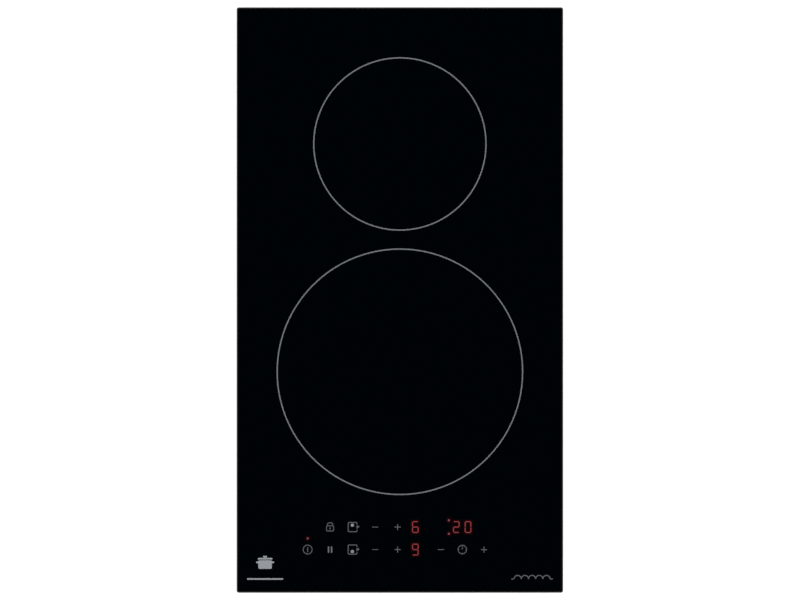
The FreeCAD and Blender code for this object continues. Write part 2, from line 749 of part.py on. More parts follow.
def lit_digits():
    """Light of the displays and indicator lamps, as thin inlays where it shows on the glass."""
    six = digit(LEVEL_X, UPPER_ROW_Y, "acdefg", GLASS_TOP, INK_TOP)
    nine = digit(LEVEL_X, LOWER_ROW_Y, "abcdfg", GLASS_TOP, INK_TOP)
    two = digit(TENS_X, UPPER_ROW_Y, "abged", GLASS_TOP, INK_TOP)
    zero = digit(UNITS_X, UPPER_ROW_Y, "abcdef", GLASS_TOP, INK_TOP)
    return six + nine + two + zero + [disc(x, y, LAMP_R, GLASS_TOP, INK_TOP) for x, y in lamp_places()]


def worktop_seal():
    width = GLASS_WIDTH - 2 * SEAL_INSET
    depth = GLASS_DEPTH - 2 * SEAL_INSET
    return frame_ring(width, depth, GLASS_CORNER, SEAL_WIDTH, 0, GLASS_UNDER)


def bonding_bead():
    """Silicone in the middle of the frame's flange, which holds it to the glass."""
    width = FRAME_WIDTH - FRAME_FLANGE + GLUE_WIDTH
    depth = FRAME_DEPTH - FRAME_FLANGE + GLUE_WIDTH
    return frame_ring(width, depth, FRAME_CORNER, GLUE_WIDTH, FRAME_TOP, GLASS_UNDER)


def case_screw_places():
    """(x, y, outward angle) of each screw, on the outside of the frame's skirt."""
    side = FRAME_WIDTH / 2
    end = FRAME_DEPTH / 2
    side_rows = (CASE_SCREW_INSET - end, 0.0, end - CASE_SCREW_INSET)
    places = [(s * side, y, 90 - 90 * s) for s in (-1, 1) for y in side_rows]
    return places + [(x, s * end, 90 * s) for s in (-1, 1) for x in both_ways(side - CASE_SCREW_INSET)]


def across(x, y, angle, radius, inside, outside):
    """Bar through a wall at (x, y), along the outward angle, at the level of the case screws."""
    return moved(turned(bar_x(radius, -inside, outside, 0, CASE_SCREW_Z), angle), x, y)


def glass_frame():
    """Angle-section frame: a flange under the glass and a skirt that takes the tray's screws."""
    flange = frame_ring(FRAME_WIDTH, FRAME_DEPTH, FRAME_CORNER, FRAME_FLANGE, FRAME_UNDER, FRAME_TOP)
    levels = (FRAME_UNDER - SKIRT_DROP, (FRAME_UNDER + FRAME_TOP) / 2)
    skirt = frame_ring(FRAME_WIDTH, FRAME_DEPTH, FRAME_CORNER, FRAME_SHEET, *levels)
    hole_r = CASE_SCREW_R + 2 * SHEET / 3
    holes = [across(x, y, angle, hole_r, 3 * FRAME_SHEET, PAST) for x, y, angle in case_screw_places()]
    return fuse([flange, skirt]).cut(holes)


def case_screws():
    """Pan-head screws through the frame's skirt into the tray."""
    screws = []
    for x, y, angle in case_screw_places():
        head = bar_x(CASE_SCREW_HEAD_R, 0, CASE_SCREW_HEAD, 0, CASE_SCREW_Z)
        rim = [e for e in head.Edges if e.Closed and e.BoundBox.XMin > CASE_SCREW_HEAD / 2]
        head = head.makeFillet(CASE_SCREW_HEAD / 2, rim)
        shank = bar_x(CASE_SCREW_R, -CASE_SCREW_LENGTH, 0, 0, CASE_SCREW_Z)
        recess = 0.6 * CASE_SCREW_HEAD
        bit = centred(CASE_SCREW_HEAD, 0, 2 * recess, 1.2 * CASE_SCREW_HEAD_R, -THIN_LINE / 2, THIN_LINE / 2)
        recesses = [moved(turned(bit, 90 * k, axis=RIGHT), z=CASE_SCREW_Z) for k in range(2)]
        screws.append(moved(turned(fuse([head, shank]).cut(recesses), angle), x, y))
    return screws


# ---------- Base tray ----------


def at_end(shape, end):
    """A shape of the front clamp (end -1) as drawn, or turned half round for the rear clamp."""
    return turned(shape, 180) if end > 0 else shape


def end_pocket(extra, end):
    """Space of one clamp pocket, grown by extra."""
    wall = -TRAY_DEPTH / 2
    past = 2 * BEND_R
    sides = (-POCKET_LEFT - extra, POCKET_RIGHT + extra)
    ends = (wall - past, wall + POCKET_DEPTH + extra)
    return at_end(block(*sides, *ends, TRAY_UNDER - past, POCKET_TOP + extra), end)


def intake_slots():
    """Rings of arc-shaped slots under the blower's inlet."""
    slots = []
    z0 = TRAY_UNDER - PAST
    z1 = FLOOR_TOP + PAST
    pitch = INTAKE_SLOT + SHEET * 3
    for k, radius in enumerate(spaced(pitch, INLET_R - INTAKE_SLOT, pitch)):
        ring = tube(BLOWER_X, BLOWER_Y, radius + INTAKE_SLOT / 2, radius - INTAKE_SLOT / 2, z0, z1)
        spokes = 3 if k == 0 else 6
        spoke = block(0, 2 * INLET_R, *both_ways(INTAKE_SPOKE / 2), z0 - PAST, z1 + PAST)
        bars = [moved(turned(spoke, 360.0 / spokes * n + 15 * k), BLOWER_X, BLOWER_Y) for n in range(spokes)]
        slots += ring.cut(bars).Solids
    return slots


def wall_vents():
    """Upright slots: the air outlet in the front wall, and vents in the rear and side walls."""
    z0 = TRAY_UNDER + VENT_RISE
    z1 = z0 + VENT_HEIGHT
    corner = INNER_X - VENT_MARGIN
    slot = centred(0, 0, VENT_WIDTH, 6 * SHEET, z0, z1)
    left_of_pocket = spaced(-corner, -POCKET_RIGHT - VENT_MARGIN, VENT_PITCH)
    right_of_pocket = spaced(POCKET_RIGHT + VENT_MARGIN, corner, VENT_PITCH)
    vents = [moved(slot, x, -INNER_Y) for x in left_of_pocket + right_of_pocket]
    vents += [moved(slot, x, INNER_Y) for x in left_of_pocket]
    first = SIDE_VENT_INSET - INNER_Y
    for side in (-1, 1):
        rows = spaced(first, first + SIDE_VENT_LENGTH, VENT_PITCH)
        vents += [moved(turned(slot, 90), side * INNER_X, y) for y in rows]
    return vents


def bead_places():
    """(x, y, width, depth) of the stiffening beads pressed into the floor."""
    middle = BEAD_INSET + BEAD_LENGTH / 2 - INNER_Y
    beads = [(BEAD_PITCH * k, middle, BEAD_WIDTH, BEAD_LENGTH) for k in (-1, 0, 1)]
    cross_y = BOARD_BACK + 2.5 * BEAD_WIDTH
    return beads + [(BEAD_PITCH / 2, cross_y, CROSS_BEAD_LENGTH, BEAD_WIDTH)]


def bay_space(z0, z1):
    """Space of the terminal bay, open through the tray's floor."""
    return centred(TERMINAL_X, TERMINAL_Y, BAY_WIDTH, BAY_DEPTH, z0, z1)


def base_tray():
    """Deep sheet-metal tray with a bent floor edge, two clamp pockets, vents and the terminal opening."""
    outer = rounded(0, 0, TRAY_WIDTH, TRAY_DEPTH, FRAME_CORNER, TRAY_UNDER, TRAY_TOP)
    outer = outer.makeFillet(BEND_R, edges_at(outer, TRAY_UNDER))
    inner = rounded(0, 0, 2 * INNER_X, 2 * INNER_Y, FRAME_CORNER - SHEET, FLOOR_TOP, TRAY_TOP + PAST)
    inner = inner.makeFillet(BEND_R - SHEET, edges_at(inner, FLOOR_TOP))
    outer = outer.cut([end_pocket(0, end) for end in (-1, 1)])
    inner = inner.cut([end_pocket(SHEET, end) for end in (-1, 1)])
    added = []
    cuts = [bay_space(TRAY_UNDER - PAST, FLOOR_TOP + PAST)] + intake_slots() + wall_vents()
    for x, y, width, depth in bead_places():
        end_r = 0.49 * BEAD_WIDTH
        added.append(rounded(x, y, width, depth, end_r, FLOOR_TOP - SHEET / 8, FLOOR_TOP + SHEET))
        dent = (width - 2 * SHEET, depth - 2 * SHEET, end_r - SHEET)
        cuts.append(rounded(x, y, *dent, TRAY_UNDER - PAST, FLOOR_TOP))
    for end in (-1, 1):
        x = end * CLAMP_X
        y = end * CLAMP_Y
        collar_r = CLAMP_SCREW_R + CLAMP_COLLAR_WALL
        added.append(disc(x, y, collar_r, POCKET_TOP - CLAMP_COLLAR, POCKET_TOP + SHEET / 8))
        bore_r = CLAMP_SCREW_R + SCREW_CLEARANCE
        cuts.append(disc(x, y, bore_r, POCKET_TOP - 2 * CLAMP_COLLAR, POCKET_TOP + SHEET + PAST))
    hole_r = CASE_SCREW_R + SCREW_CLEARANCE
    cuts += [across(x, y, angle, hole_r, CASE_SCREW_LENGTH, 0) for x, y, angle in case_screw_places()]
    gland_r = GLAND_BORE_R + GLAND_WALL + SCREW_CLEARANCE
    cuts.append(bar_y(gland_r, INNER_Y - PAST, INNER_Y + SHEET + PAST, TERMINAL_X, GLAND_Z))
    return fuse([outer.cut(inner), *added]).cut(cuts)


# ---------- Coil units ----------


def winding(cy, outer_r, inner_r):
    """Flat coil of stranded wire, with one rounded crest for each turn."""
    turns = round((outer_r - inner_r) / LITZ_PITCH)
    pitch = (outer_r - inner_r) / turns
    valley = INSULATOR_UNDER - LITZ_CREST
    edges = [line(Vec(inner_r, 0, WINDING_UNDER), Vec(inner_r, 0, valley))]
    for k in range(turns):
        start = Vec(inner_r + k * pitch, 0, valley)
        crest = start + Vec(pitch / 2, 0, LITZ_CREST)
        edges.append(arc(start, crest, start + Vec(pitch, 0, 0)))
    edges.append(line(Vec(outer_r, 0, valley), Vec(outer_r, 0, WINDING_UNDER)))
    edges.append(line(Vec(outer_r, 0, WINDING_UNDER), Vec(inner_r, 0, WINDING_UNDER)))
    return moved(Part.Face(Part.Wire(edges)).revolve(Vec(0, 0, 0), UP, 360), 0, cy)


def insulator(cy, winding_r):
    """Mica sheet between the winding and the glass, with a locating notch at its rear."""
    rim = winding_r + INSULATOR_RIM
    sheet = tube(0, cy, rim, SENSOR_R + SENSOR_GAP, INSULATOR_UNDER, GLASS_UNDER)
    return sheet.cut(centred(0, cy + rim, 8.0, 5.0, INSULATOR_UNDER - PAST, GLASS_UNDER + PAST))


def ferrite_pockets(cy, winding_r, inner_r, count, grown, z0, z1):
    """Radial bars between the winding's edges, each grown by the same margin in plan."""
    r0 = inner_r + FERRITE_INNER_INSET - grown
    r1 = winding_r - FERRITE_OUTER_INSET + grown
    bar = block(r0, r1, *both_ways(FERRITE_WIDTH / 2 + grown), z0, z1)
    return [moved(turned(bar, 360.0 / count * (k + 0.5)), 0, cy) for k in range(count)]


def ferrites(cy, winding_r, inner_r, count):
    return ferrite_pockets(cy, winding_r, inner_r, count, 0, FERRITE_UNDER, CARRIER_UNDER)


def peg_places(cy, winding_r, first_deg):
    """Three guide pegs of a coil carrier, a third of a turn apart."""
    return [polar(0, cy, winding_r - PEG_INSET, first_deg + 120 * k) for k in range(3)]


def coil_carrier(cy, winding_r, inner_r, count, pegs):
    """Moulded dish that holds the winding, with ferrite pockets, bosses and guide pegs below."""
    rim = winding_r + CARRIER_RIM
    parts = [disc(0, cy, rim, CARRIER_UNDER, WINDING_UNDER)]
    parts.append(tube(0, cy, rim, rim - CARRIER_WALL, CARRIER_UNDER, INSULATOR_UNDER - SCREW_CLEARANCE))
    walls = ferrite_pockets(cy, winding_r, inner_r, count, POCKET_WALL, FERRITE_UNDER, CARRIER_UNDER)
    spaces = ferrite_pockets(
        cy, winding_r, inner_r, count, SCREW_CLEARANCE, FERRITE_UNDER - PAST, CARRIER_UNDER
    )
    parts += [wall.cut(space) for wall, space in zip(walls, spaces)]
    for x, y in pegs:
        tip = PEG_R / 2
        parts.append(disc(x, y, BOSS_R, BOSS_UNDER, CARRIER_UNDER))
        parts.append(disc(x, y, PEG_R, PEG_UNDER + tip, BOSS_UNDER))
        parts.append(Part.makeCone(tip, PEG_R, tip, Vec(x, y, PEG_UNDER)))
    return fuse(parts).cut(disc(0, cy, SENSOR_STEM_R, CARRIER_UNDER - PAST, WINDING_UNDER + PAST))


def temperature_sensor(cy):
    """Sensor in a rubber cap that stands on the carrier and touches the glass."""
    bevel = SENSOR_R / 10
    foot = disc(0, cy, SENSOR_R + SENSOR_GAP, WINDING_UNDER, WINDING_UNDER + 2 * bevel)
    cap = disc(0, cy, SENSOR_R, WINDING_UNDER, GLASS_UNDER - bevel)
    tip = Part.makeCone(SENSOR_R, SENSOR_R - 2 * bevel, bevel, Vec(0, cy, GLASS_UNDER - bevel))
    stem = disc(0, cy, SENSOR_STEM_R - SCREW_CLEARANCE, CARRIER_UNDER - PAST, WINDING_UNDER)
    return fuse([foot, cap, tip, stem])


def coil_springs(pegs):
    mean_r = PEG_R + SPRING_CLEARANCE + COIL_SPRING_WIRE_R
    size = (PLATE_TOP, BOSS_UNDER, mean_r, COIL_SPRING_WIRE_R, COIL_SPRING_TURNS)
    return [coil_spring(x, y, *size) for x, y in pegs]


def lead_starts(cy, radius, degrees):
    """Where the two ends of a winding leave the carrier's underside."""
    half_step = math.degrees(LEAD_SPACING / 2 / radius)
    return [polar(0, cy, radius, degrees + step) for step in both_ways(half_step)]


def coil_leads(starts, lean):
    """Two insulated leads from the carrier down to the power board, with slack for the coil's travel."""
    leads = []
    bend = PLATE_TOP + COIL_TRAVEL
    post = POWER_BOARD_TOP + POST_HEIGHT
    for x, y in starts:
        upper = [(x, y, CARRIER_UNDER), (x, y, bend)]
        lower = [(x, y + lean, BLOWER_TOP), (x, y + lean, post)]
        leads.append(wire_along(upper + lower, LEAD_R))
    return leads


FRONT_PEGS = peg_places(FRONT_ZONE_Y, FRONT_WINDING_R, 90)
REAR_PEGS = peg_places(REAR_ZONE_Y, REAR_WINDING_R, 30)
FRONT_LEADS = lead_starts(FRONT_ZONE_Y, FRONT_LEAD_R, FRONT_LEAD_DEG)
REAR_LEADS = lead_starts(REAR_ZONE_Y, REAR_LEAD_R, REAR_LEAD_DEG)
FRONT_COIL = (FRONT_ZONE_Y, FRONT_WINDING_R, FRONT_WINDING_INNER_R, 8)
REAR_COIL = (REAR_ZONE_Y, REAR_WINDING_R, REAR_WINDING_INNER_R, 6)


# ---------- Support plate, pillars and inner screws ----------


def pillar_places():
    """Six pillars, clear of the blower, the power board and the terminal bay."""
    side = INNER_X - PILLAR_INSET
    front = BOARD_FRONT - PILLAR_LEAD
    rear_left = (-side, INNER_Y - PILLAR_INSET)
    rear_right = (side, BOARD_BACK + 2 * PILLAR_INSET)
    middle_front = (0.0, front - 2 * PILLAR_INSET)
    middle_rear = (0.2 * side, INNER_Y - 3 * PILLAR_INSET)
    return [(-side, front), (side, front), rear_right, rear_left, middle_front, middle_rear]


def lead_slot(starts, lean, z0, z1):
    """Opening round a pair of leads, as long as their lean."""
    x = sum(start[0] for start in starts) / 2
    y = sum(start[1] for start in starts) / 2 + lean / 2
    margin = 4 * LEAD_R
    return rounded(x, y, LEAD_SPACING + 2 * margin, LEAD_SPACING + 2 * LEAD_R + abs(lean), margin / 2, z0, z1)


def support_plate():
    """Aluminium sheet that carries the coils and the controls above the electronics."""
    x = INNER_X - PLATE_GAP
    y = INNER_Y - PLATE_GAP
    plate = rounded(0, 0, 2 * x, 2 * y, PLATE_THICK, PLATE_UNDER, PLATE_TOP)
    lip_y = y - PILLAR_INSET
    lip = centred(0, 0, PLATE_THICK, 2 * lip_y, PLATE_UNDER - PLATE_LIP, PLATE_UNDER)
    lips = [moved(lip, s * (x - PLATE_THICK / 2)) for s in (-1, 1)]
    z0 = PLATE_UNDER - PAST
    z1 = PLATE_TOP + PAST
    cuts = [disc(px, py, PEG_R + PEG_CLEARANCE, z0, z1) for px, py in FRONT_PEGS + REAR_PEGS]
    cuts += [disc(px, py, CONTROL_PEG_R + PEG_CLEARANCE, z0, z1) for px, py in control_pegs()]
    cuts += [disc(px, py, PLATE_SCREW_R + 4 * SCREW_CLEARANCE, z0, z1) for px, py in pillar_places()]
    cuts += [disc(end * CLAMP_X, end * CLAMP_Y, 2 * CLAMP_SCREW_R, z0, z1) for end in (-1, 1)]
    cuts.append(lead_slot(FRONT_LEADS, FRONT_LEAD_SHIFT, z0, z1))
    cuts.append(lead_slot(REAR_LEADS, REAR_LEAD_SHIFT, z0, z1))
    cuts.append(rounded(RIBBON_X, RIBBON_Y, 1.5 * RIBBON_WIDTH, RIBBON_WIDTH, 3.0, z0, z1))
    for cy in (FRONT_ZONE_Y, REAR_ZONE_Y):
        cuts += [disc(*polar(0, cy, PLATE_HOLE_CIRCLE, 60 * k), PLATE_HOLE_R, z0, z1) for k in range(6)]
    return fuse([plate, *lips]).cut(cuts)


def support_pillars():
    """Hexagon pillars pressed into the tray floor, each tapped at its top."""
    pillars = []
    for x, y in pillar_places():
        pillar = prism([polar(x, y, PILLAR_R, 60 * k) for k in range(6)], FLOOR_TOP, PLATE_UNDER)
        bore_r = PLATE_SCREW_R + SCREW_CLEARANCE
        pillars.append(pillar.cut(disc(x, y, bore_r, PLATE_UNDER - 5 * PLATE_SCREW_R, PLATE_UNDER + PAST)))
    return pillars


def inner_screws():
    """Screws of the support plate, the power board, the blower cover and the transistor clip."""
    screws = [pan_screw(x, y, PLATE_TOP, PLATE_SCREW_R, 4 * PLATE_SCREW_R) for x, y in pillar_places()]
    reach = STANDOFF + BOARD_THICK
    screws += [pan_screw(x, y, POWER_BOARD_TOP, SMALL_SCREW_R, reach) for x, y in board_screws()]
    screws += [pan_screw(x, y, BLOWER_TOP, SMALL_SCREW_R, 5 * BLOWER_WALL) for x, y in blower_lugs()]
    side_screw = turned(pan_screw(0, 0, 0, SMALL_SCREW_R, TRANSISTOR_THICK + 2 * CLIP_THICK), 90, axis=REAR)
    screws += [moved(side_screw, CLIP_X + CLIP_THICK, y, CLIP_Z) for y in clip_screws()]
    return screws


# ---------- Control unit ----------


def control_pegs():
    """Four guide pegs under the control holder, inside its springs."""
    x = CONTROL_WIDTH / 2 - CONTROL_PEG_INSET
    y = CONTROL_DEPTH / 2 - 0.7 * CONTROL_PEG_INSET
    return [(CONTROL_X + dx, CONTROL_Y + dy) for dx in both_ways(x) for dy in both_ways(y)]


def control_board():
    """Board with its two controller chips."""
    top = CONTROL_BOARD_TOP
    board = centred(CONTROL_X, CONTROL_Y, CONTROL_WIDTH, CONTROL_DEPTH, CONTROL_BOARD_UNDER, top)
    side = 9.0
    chip_x = ((ZONE_X + LOCK_X) / 2, (LEVEL_X + TIMER_MINUS_X) / 2)
    return fuse([board, *[centred(x, CONTROL_Y, side, side, top, top + 0.15 * side) for x in chip_x]])


def control_holder():
    """Moulded tray with a ledge under the control board, a rim round it and pegs below."""
    inner_width = CONTROL_WIDTH + 2 * BOARD_GAP
    inner_depth = CONTROL_DEPTH + 2 * BOARD_GAP
    rim = CONTROL_BOARD_TOP + HOLDER_RIM
    width = inner_width + 2 * HOLDER_SHEET
    body = rounded(
        CONTROL_X, CONTROL_Y, width, inner_depth + 2 * HOLDER_SHEET, HOLDER_SHEET, CONTROL_HOLDER_UNDER, rim
    )
    floor = CONTROL_HOLDER_UNDER + HOLDER_SHEET
    seat = centred(CONTROL_X, CONTROL_Y, inner_width, inner_depth, CONTROL_BOARD_UNDER, rim + PAST)
    ledge_width = CONTROL_WIDTH - 2 * HOLDER_LEDGE
    ledge_depth = CONTROL_DEPTH - 2 * HOLDER_LEDGE
    well = centred(CONTROL_X, CONTROL_Y, ledge_width, ledge_depth, floor, rim)
    slot_size = (1.3 * RIBBON_WIDTH, 0.6 * RIBBON_WIDTH)
    slot = centred(RIBBON_X, RIBBON_Y, *slot_size, CONTROL_HOLDER_UNDER - PAST, rim)
    pegs = [disc(x, y, CONTROL_PEG_R, PEG_UNDER + PAST, CONTROL_HOLDER_UNDER) for x, y in control_pegs()]
    return fuse([body.cut([seat, well, slot]), *pegs])


def display_modules():
    """Seven-segment displays and light guides that stand on the control board."""
    face = GLASS_UNDER - DISPLAY_GAP
    modules = []
    for xs, y in (((LEVEL_X,), UPPER_ROW_Y), ((LEVEL_X,), LOWER_ROW_Y), ((TENS_X, UNITS_X), UPPER_ROW_Y)):
        width = DISPLAY_WIDTH + xs[-1] - xs[0]
        module = centred((xs[0] + xs[-1]) / 2, y, width, DISPLAY_DEPTH, CONTROL_BOARD_TOP, face)
        windows = [bar for x in xs for bar in digit(x, y, "abcdefg", face - DISPLAY_GAP / 2, face + PAST)]
        modules.append(module.cut(windows))
    for x, y in lamp_places():
        guide = centred(x, y, 3 * LAMP_R, 4 * LAMP_R, CONTROL_BOARD_TOP, face - LAMP_R)
        modules.append(fuse([guide, disc(x, y, LAMP_R, face - LAMP_R, face)]))
    return modules


def touch_places():
    upper = [(x, UPPER_ROW_Y) for x in (LOCK_X, MINUS_X, PLUS_X)]
    lower = (POWER_X, LOCK_X, MINUS_X, PLUS_X, TIMER_MINUS_X, CLOCK_X, TIMER_PLUS_X)
    return upper + [(x, LOWER_ROW_Y) for x in lower]


def touch_springs():
    """Sensing spring under each key, with a flat pad against the glass."""
    top = GLASS_UNDER - TOUCH_PAD
    size = (CONTROL_BOARD_TOP, top, TOUCH_SPRING_R, TOUCH_SPRING_WIRE_R, TOUCH_SPRING_TURNS)
    springs = [coil_spring(x, y, *size) for x, y in touch_places()]
    return springs + [disc(x, y, TOUCH_PAD_R, top, GLASS_UNDER) for x, y in touch_places()]


def control_springs():
    mean_r = CONTROL_PEG_R + SPRING_CLEARANCE + CONTROL_SPRING_WIRE_R
    size = (PLATE_TOP, CONTROL_HOLDER_UNDER, mean_r, CONTROL_SPRING_WIRE_R, CONTROL_SPRING_TURNS)
    return [coil_spring(x, y, *size) for x, y in control_pegs()]


def ribbon_cable():
    """Flat cable from the control board, down through the plate, to the power board's front edge."""
    gap = SOCKET_Y - RIBBON_Y
    high = PLATE_UNDER - PLATE_LIP
    low = POWER_BOARD_TOP + SOCKET_HEIGHT
    route = [
        Vec(RIBBON_X, RIBBON_Y, CONTROL_BOARD_UNDER), Vec(RIBBON_X, RIBBON_Y, high),
        Vec(RIBBON_X, RIBBON_Y + 0.2 * gap, low), Vec(RIBBON_X, SOCKET_Y - 0.25 * gap, high - RIBBON_THICK),
        Vec(RIBBON_X, SOCKET_Y, high), Vec(RIBBON_X, SOCKET_Y, low),
    ]
    half_width = Vec(RIBBON_WIDTH / 2, 0, 0)
    half_thick = Vec(0, RIBBON_THICK / 2, 0)
    near = route[0] - half_thick
    far = route[0] + half_thick
    corners = [near - half_width, near + half_width, far + half_width, far - half_width]
    return bent_path(route).makePipeShell([Part.makePolygon(corners + corners[:1])], True, False)


# ---------- Blower ----------


def scroll_point(degrees, extra):
    """Point of the spiral wall: its radius grows evenly from the tongue to the outlet."""
    share = (degrees - SCROLL_TONGUE_DEG) / (SCROLL_END_DEG - SCROLL_TONGUE_DEG)
    radius = SCROLL_START_R + share * (SCROLL_END_R - SCROLL_START_R) + extra
    return Vec(*polar(BLOWER_X, BLOWER_Y, radius, degrees), 0)


def spiral(extra):
    """The spiral wall as four arcs, from the tongue round to the outlet."""
    sweep = (SCROLL_END_DEG - SCROLL_TONGUE_DEG) / 4
    corners = [SCROLL_TONGUE_DEG + sweep * k for k in range(4)]
    return [arc(*[scroll_point(first + sweep * part, extra) for part in (0, 0.5, 1)]) for first in corners]


def closed_solid(edges, z0, z1):
    return moved(Part.Face(Part.Wire(edges)).extrude(UP * (z1 - z0)), z=z0)


def air_channel(z0, z1):
    """Inside of the scroll: the spiral and a straight outlet towards the front."""
    tongue = scroll_point(SCROLL_TONGUE_DEG, 0)
    far = scroll_point(SCROLL_END_DEG, 0)
    mouth_left = Vec(far.x, MOUTH_Y, 0)
    mouth_right = Vec(tongue.x, MOUTH_Y, 0)
    outlet = [line(far, mouth_left), line(mouth_left, mouth_right), line(mouth_right, tongue)]
    return closed_solid(spiral(0) + outlet, z0, z1)


def spiral_sector(extra, z0, z1):
    """Everything between the spiral and the impeller's axis."""
    axis = Vec(BLOWER_X, BLOWER_Y, 0)
    inward = line(scroll_point(SCROLL_END_DEG, extra), axis)
    outward = line(axis, scroll_point(SCROLL_TONGUE_DEG, extra))
    return closed_solid(spiral(extra) + [inward, outward], z0, z1)


def blower_lugs():
    """Three screw lugs outside the spiral wall."""
    return [tuple(scroll_point(angle, LUG_OFFSET))[:2] for angle in (-50.0, 30.0, 118.0)]


def blower_body(z0, z1):
    """Outside of the housing: the channel with its walls, and the screw lugs."""
    tongue = scroll_point(SCROLL_TONGUE_DEG, 0)
    far = scroll_point(SCROLL_END_DEG, 0)
    right_wall = block(tongue.x - PAST, tongue.x + BLOWER_WALL, MOUTH_Y, tongue.y + 2 * BLOWER_WALL, z0, z1)
    left_wall = block(far.x - BLOWER_WALL, far.x + PAST, MOUTH_Y, far.y, z0, z1)
    lugs = [disc(x, y, LUG_R, z0, z1) for x, y in blower_lugs()]
    return fuse([air_channel(z0, z1), spiral_sector(BLOWER_WALL, z0, z1), right_wall, left_wall, *lugs])


def blower_housing():
    """Scroll-shaped shell, open at the top, with the inlet ring in its floor."""
    top = BLOWER_TOP - BLOWER_WALL
    floor = FLOOR_TOP + BLOWER_WALL
    shell = blower_body(FLOOR_TOP, top).cut(air_channel(floor, top + PAST))
    lip = tube(BLOWER_X, BLOWER_Y, INLET_R + INLET_LIP, INLET_R, FLOOR_TOP, floor + INLET_LIP)
    cuts = [disc(BLOWER_X, BLOWER_Y, INLET_R, FLOOR_TOP - PAST, top)]
    bore_r = SMALL_SCREW_R + SCREW_CLEARANCE
    cuts += [disc(x, y, bore_r, BLOWER_TOP - 6 * BLOWER_WALL, top + PAST) for x, y in blower_lugs()]
    return fuse([shell, lip]).cut(cuts)


def blower_cover():
    """Lid of the scroll, with ribs on top and the tube that holds the motor."""
    under = BLOWER_TOP - BLOWER_WALL
    rib = block(MOTOR_TUBE_R, IMPELLER_R, *both_ways(BLOWER_WALL / 2), under, BLOWER_TOP + BLOWER_WALL / 2)
    ribs = [moved(turned(rib, 60 * k), BLOWER_X, BLOWER_Y) for k in range(6)]
    stem = disc(BLOWER_X, BLOWER_Y, MOTOR_TUBE_R, BUSH_UNDER, under)
    lid = fuse([blower_body(under, BLOWER_TOP), stem, *ribs])
    hole_r = SMALL_SCREW_R + 4 * SCREW_CLEARANCE
    cuts = [disc(x, y, hole_r, under - PAST, BLOWER_TOP + PAST) for x, y in blower_lugs()]
    cuts.append(disc(BLOWER_X, BLOWER_Y, BUSH_R, BUSH_UNDER - PAST, BUSH_TOP))
    return lid.cut(cuts)


def fan_bearing():
    """Sintered bush in the motor tube."""
    return tube(BLOWER_X, BLOWER_Y, BUSH_R, BUSH_BORE_R, BUSH_UNDER, BUSH_TOP)


def fan_stator():
    """Laminated core with four wound poles, bonded on the motor tube."""
    z0 = BUSH_UNDER + PAST
    z1 = HUB_TOP - PAST
    shoe = 1.6
    bore_r = MOTOR_TUBE_R + STATOR_CLEARANCE
    parts = [tube(BLOWER_X, BLOWER_Y, MOTOR_TUBE_R + 1.5 * shoe, bore_r, z0, z1)]
    neck = block(MOTOR_TUBE_R + shoe, STATOR_R - shoe / 2, -shoe, shoe, z0 + 1, z1 - 1)
    coil = block(MOTOR_TUBE_R + 2 * shoe, STATOR_R - 1.25 * shoe, *both_ways(2.2 * shoe), z0, z1)
    pole = fuse([neck, coil])
    parts += [moved(turned(pole, 90 * k), BLOWER_X, BLOWER_Y) for k in range(4)]
    shoes = tube(BLOWER_X, BLOWER_Y, STATOR_R, STATOR_R - shoe, z0 + 1, z1 - 1)
    gap = block(0, 2 * STATOR_R, *both_ways(shoe / 2), z0 - PAST, z1 + PAST)
    gaps = [moved(turned(gap, 90 * k + 45), BLOWER_X, BLOWER_Y) for k in range(4)]
    return fuse([*parts, shoes.cut(gaps)])


def fan_shaft():
    shaft = disc(BLOWER_X, BLOWER_Y, SHAFT_R, HUB_UNDER + ROTOR_GAP, BUSH_TOP - ROTOR_GAP)
    return shaft.makeChamfer(SHAFT_R / 5, [e for e in shaft.Edges if e.Closed])


def fan_magnet():
    """Ring magnet inside the impeller's hub."""
    outer = HUB_R - HUB_WALL
    return tube(BLOWER_X, BLOWER_Y, outer, outer - MAGNET_THICK, BUSH_UNDER, HUB_TOP - ROTOR_GAP)


def fan_blade():
    """One forward-curved blade, between the web above and the ring below."""
    inner_bow = BLADE_BOW_R - BLADE_THICK / 2
    bow = tube(0, BLADE_BOW_R, inner_bow + BLADE_THICK, inner_bow, BLADE_UNDER, HUB_TOP - PAST)
    chord = IMPELLER_R - BLADE_INNER_R
    window = block(-0.4 * chord, 0.55 * chord, -PAST, BLADE_BOW_R / 2, BLADE_UNDER - PAST, HUB_TOP)
    return moved(bow.common(window), BLADE_INNER_R + 0.4 * chord)


def fan_impeller():
    """Cup-shaped hub, a web and forward-curved blades tied by a ring at the inlet side."""
    x = BLOWER_X
    y = BLOWER_Y
    hub = disc(x, y, HUB_R, HUB_UNDER, HUB_TOP)
    hub = hub.makeFillet(HUB_FLOOR / 2, edges_at(hub, HUB_UNDER))
    hub = hub.cut(disc(x, y, HUB_R - HUB_WALL, HUB_UNDER + HUB_FLOOR / 2, HUB_TOP + PAST))
    boss = disc(x, y, 2.4 * SHAFT_R, HUB_UNDER, BUSH_UNDER - ROTOR_GAP)
    web = tube(x, y, IMPELLER_R, HUB_R - HUB_WALL / 2, HUB_TOP - HUB_WALL, HUB_TOP)
    ring = tube(x, y, IMPELLER_R, IMPELLER_R - 2 * HUB_WALL, BLADE_UNDER, BLADE_UNDER + HUB_WALL)
    blades = [moved(turned(fan_blade(), 360.0 / BLADE_COUNT * k), x, y) for k in range(BLADE_COUNT)]
    return fuse([hub, boss, web, ring, *blades]).cut(disc(x, y, SHAFT_R, HUB_UNDER + ROTOR_GAP, HUB_TOP))


# ---------- Power electronics ----------


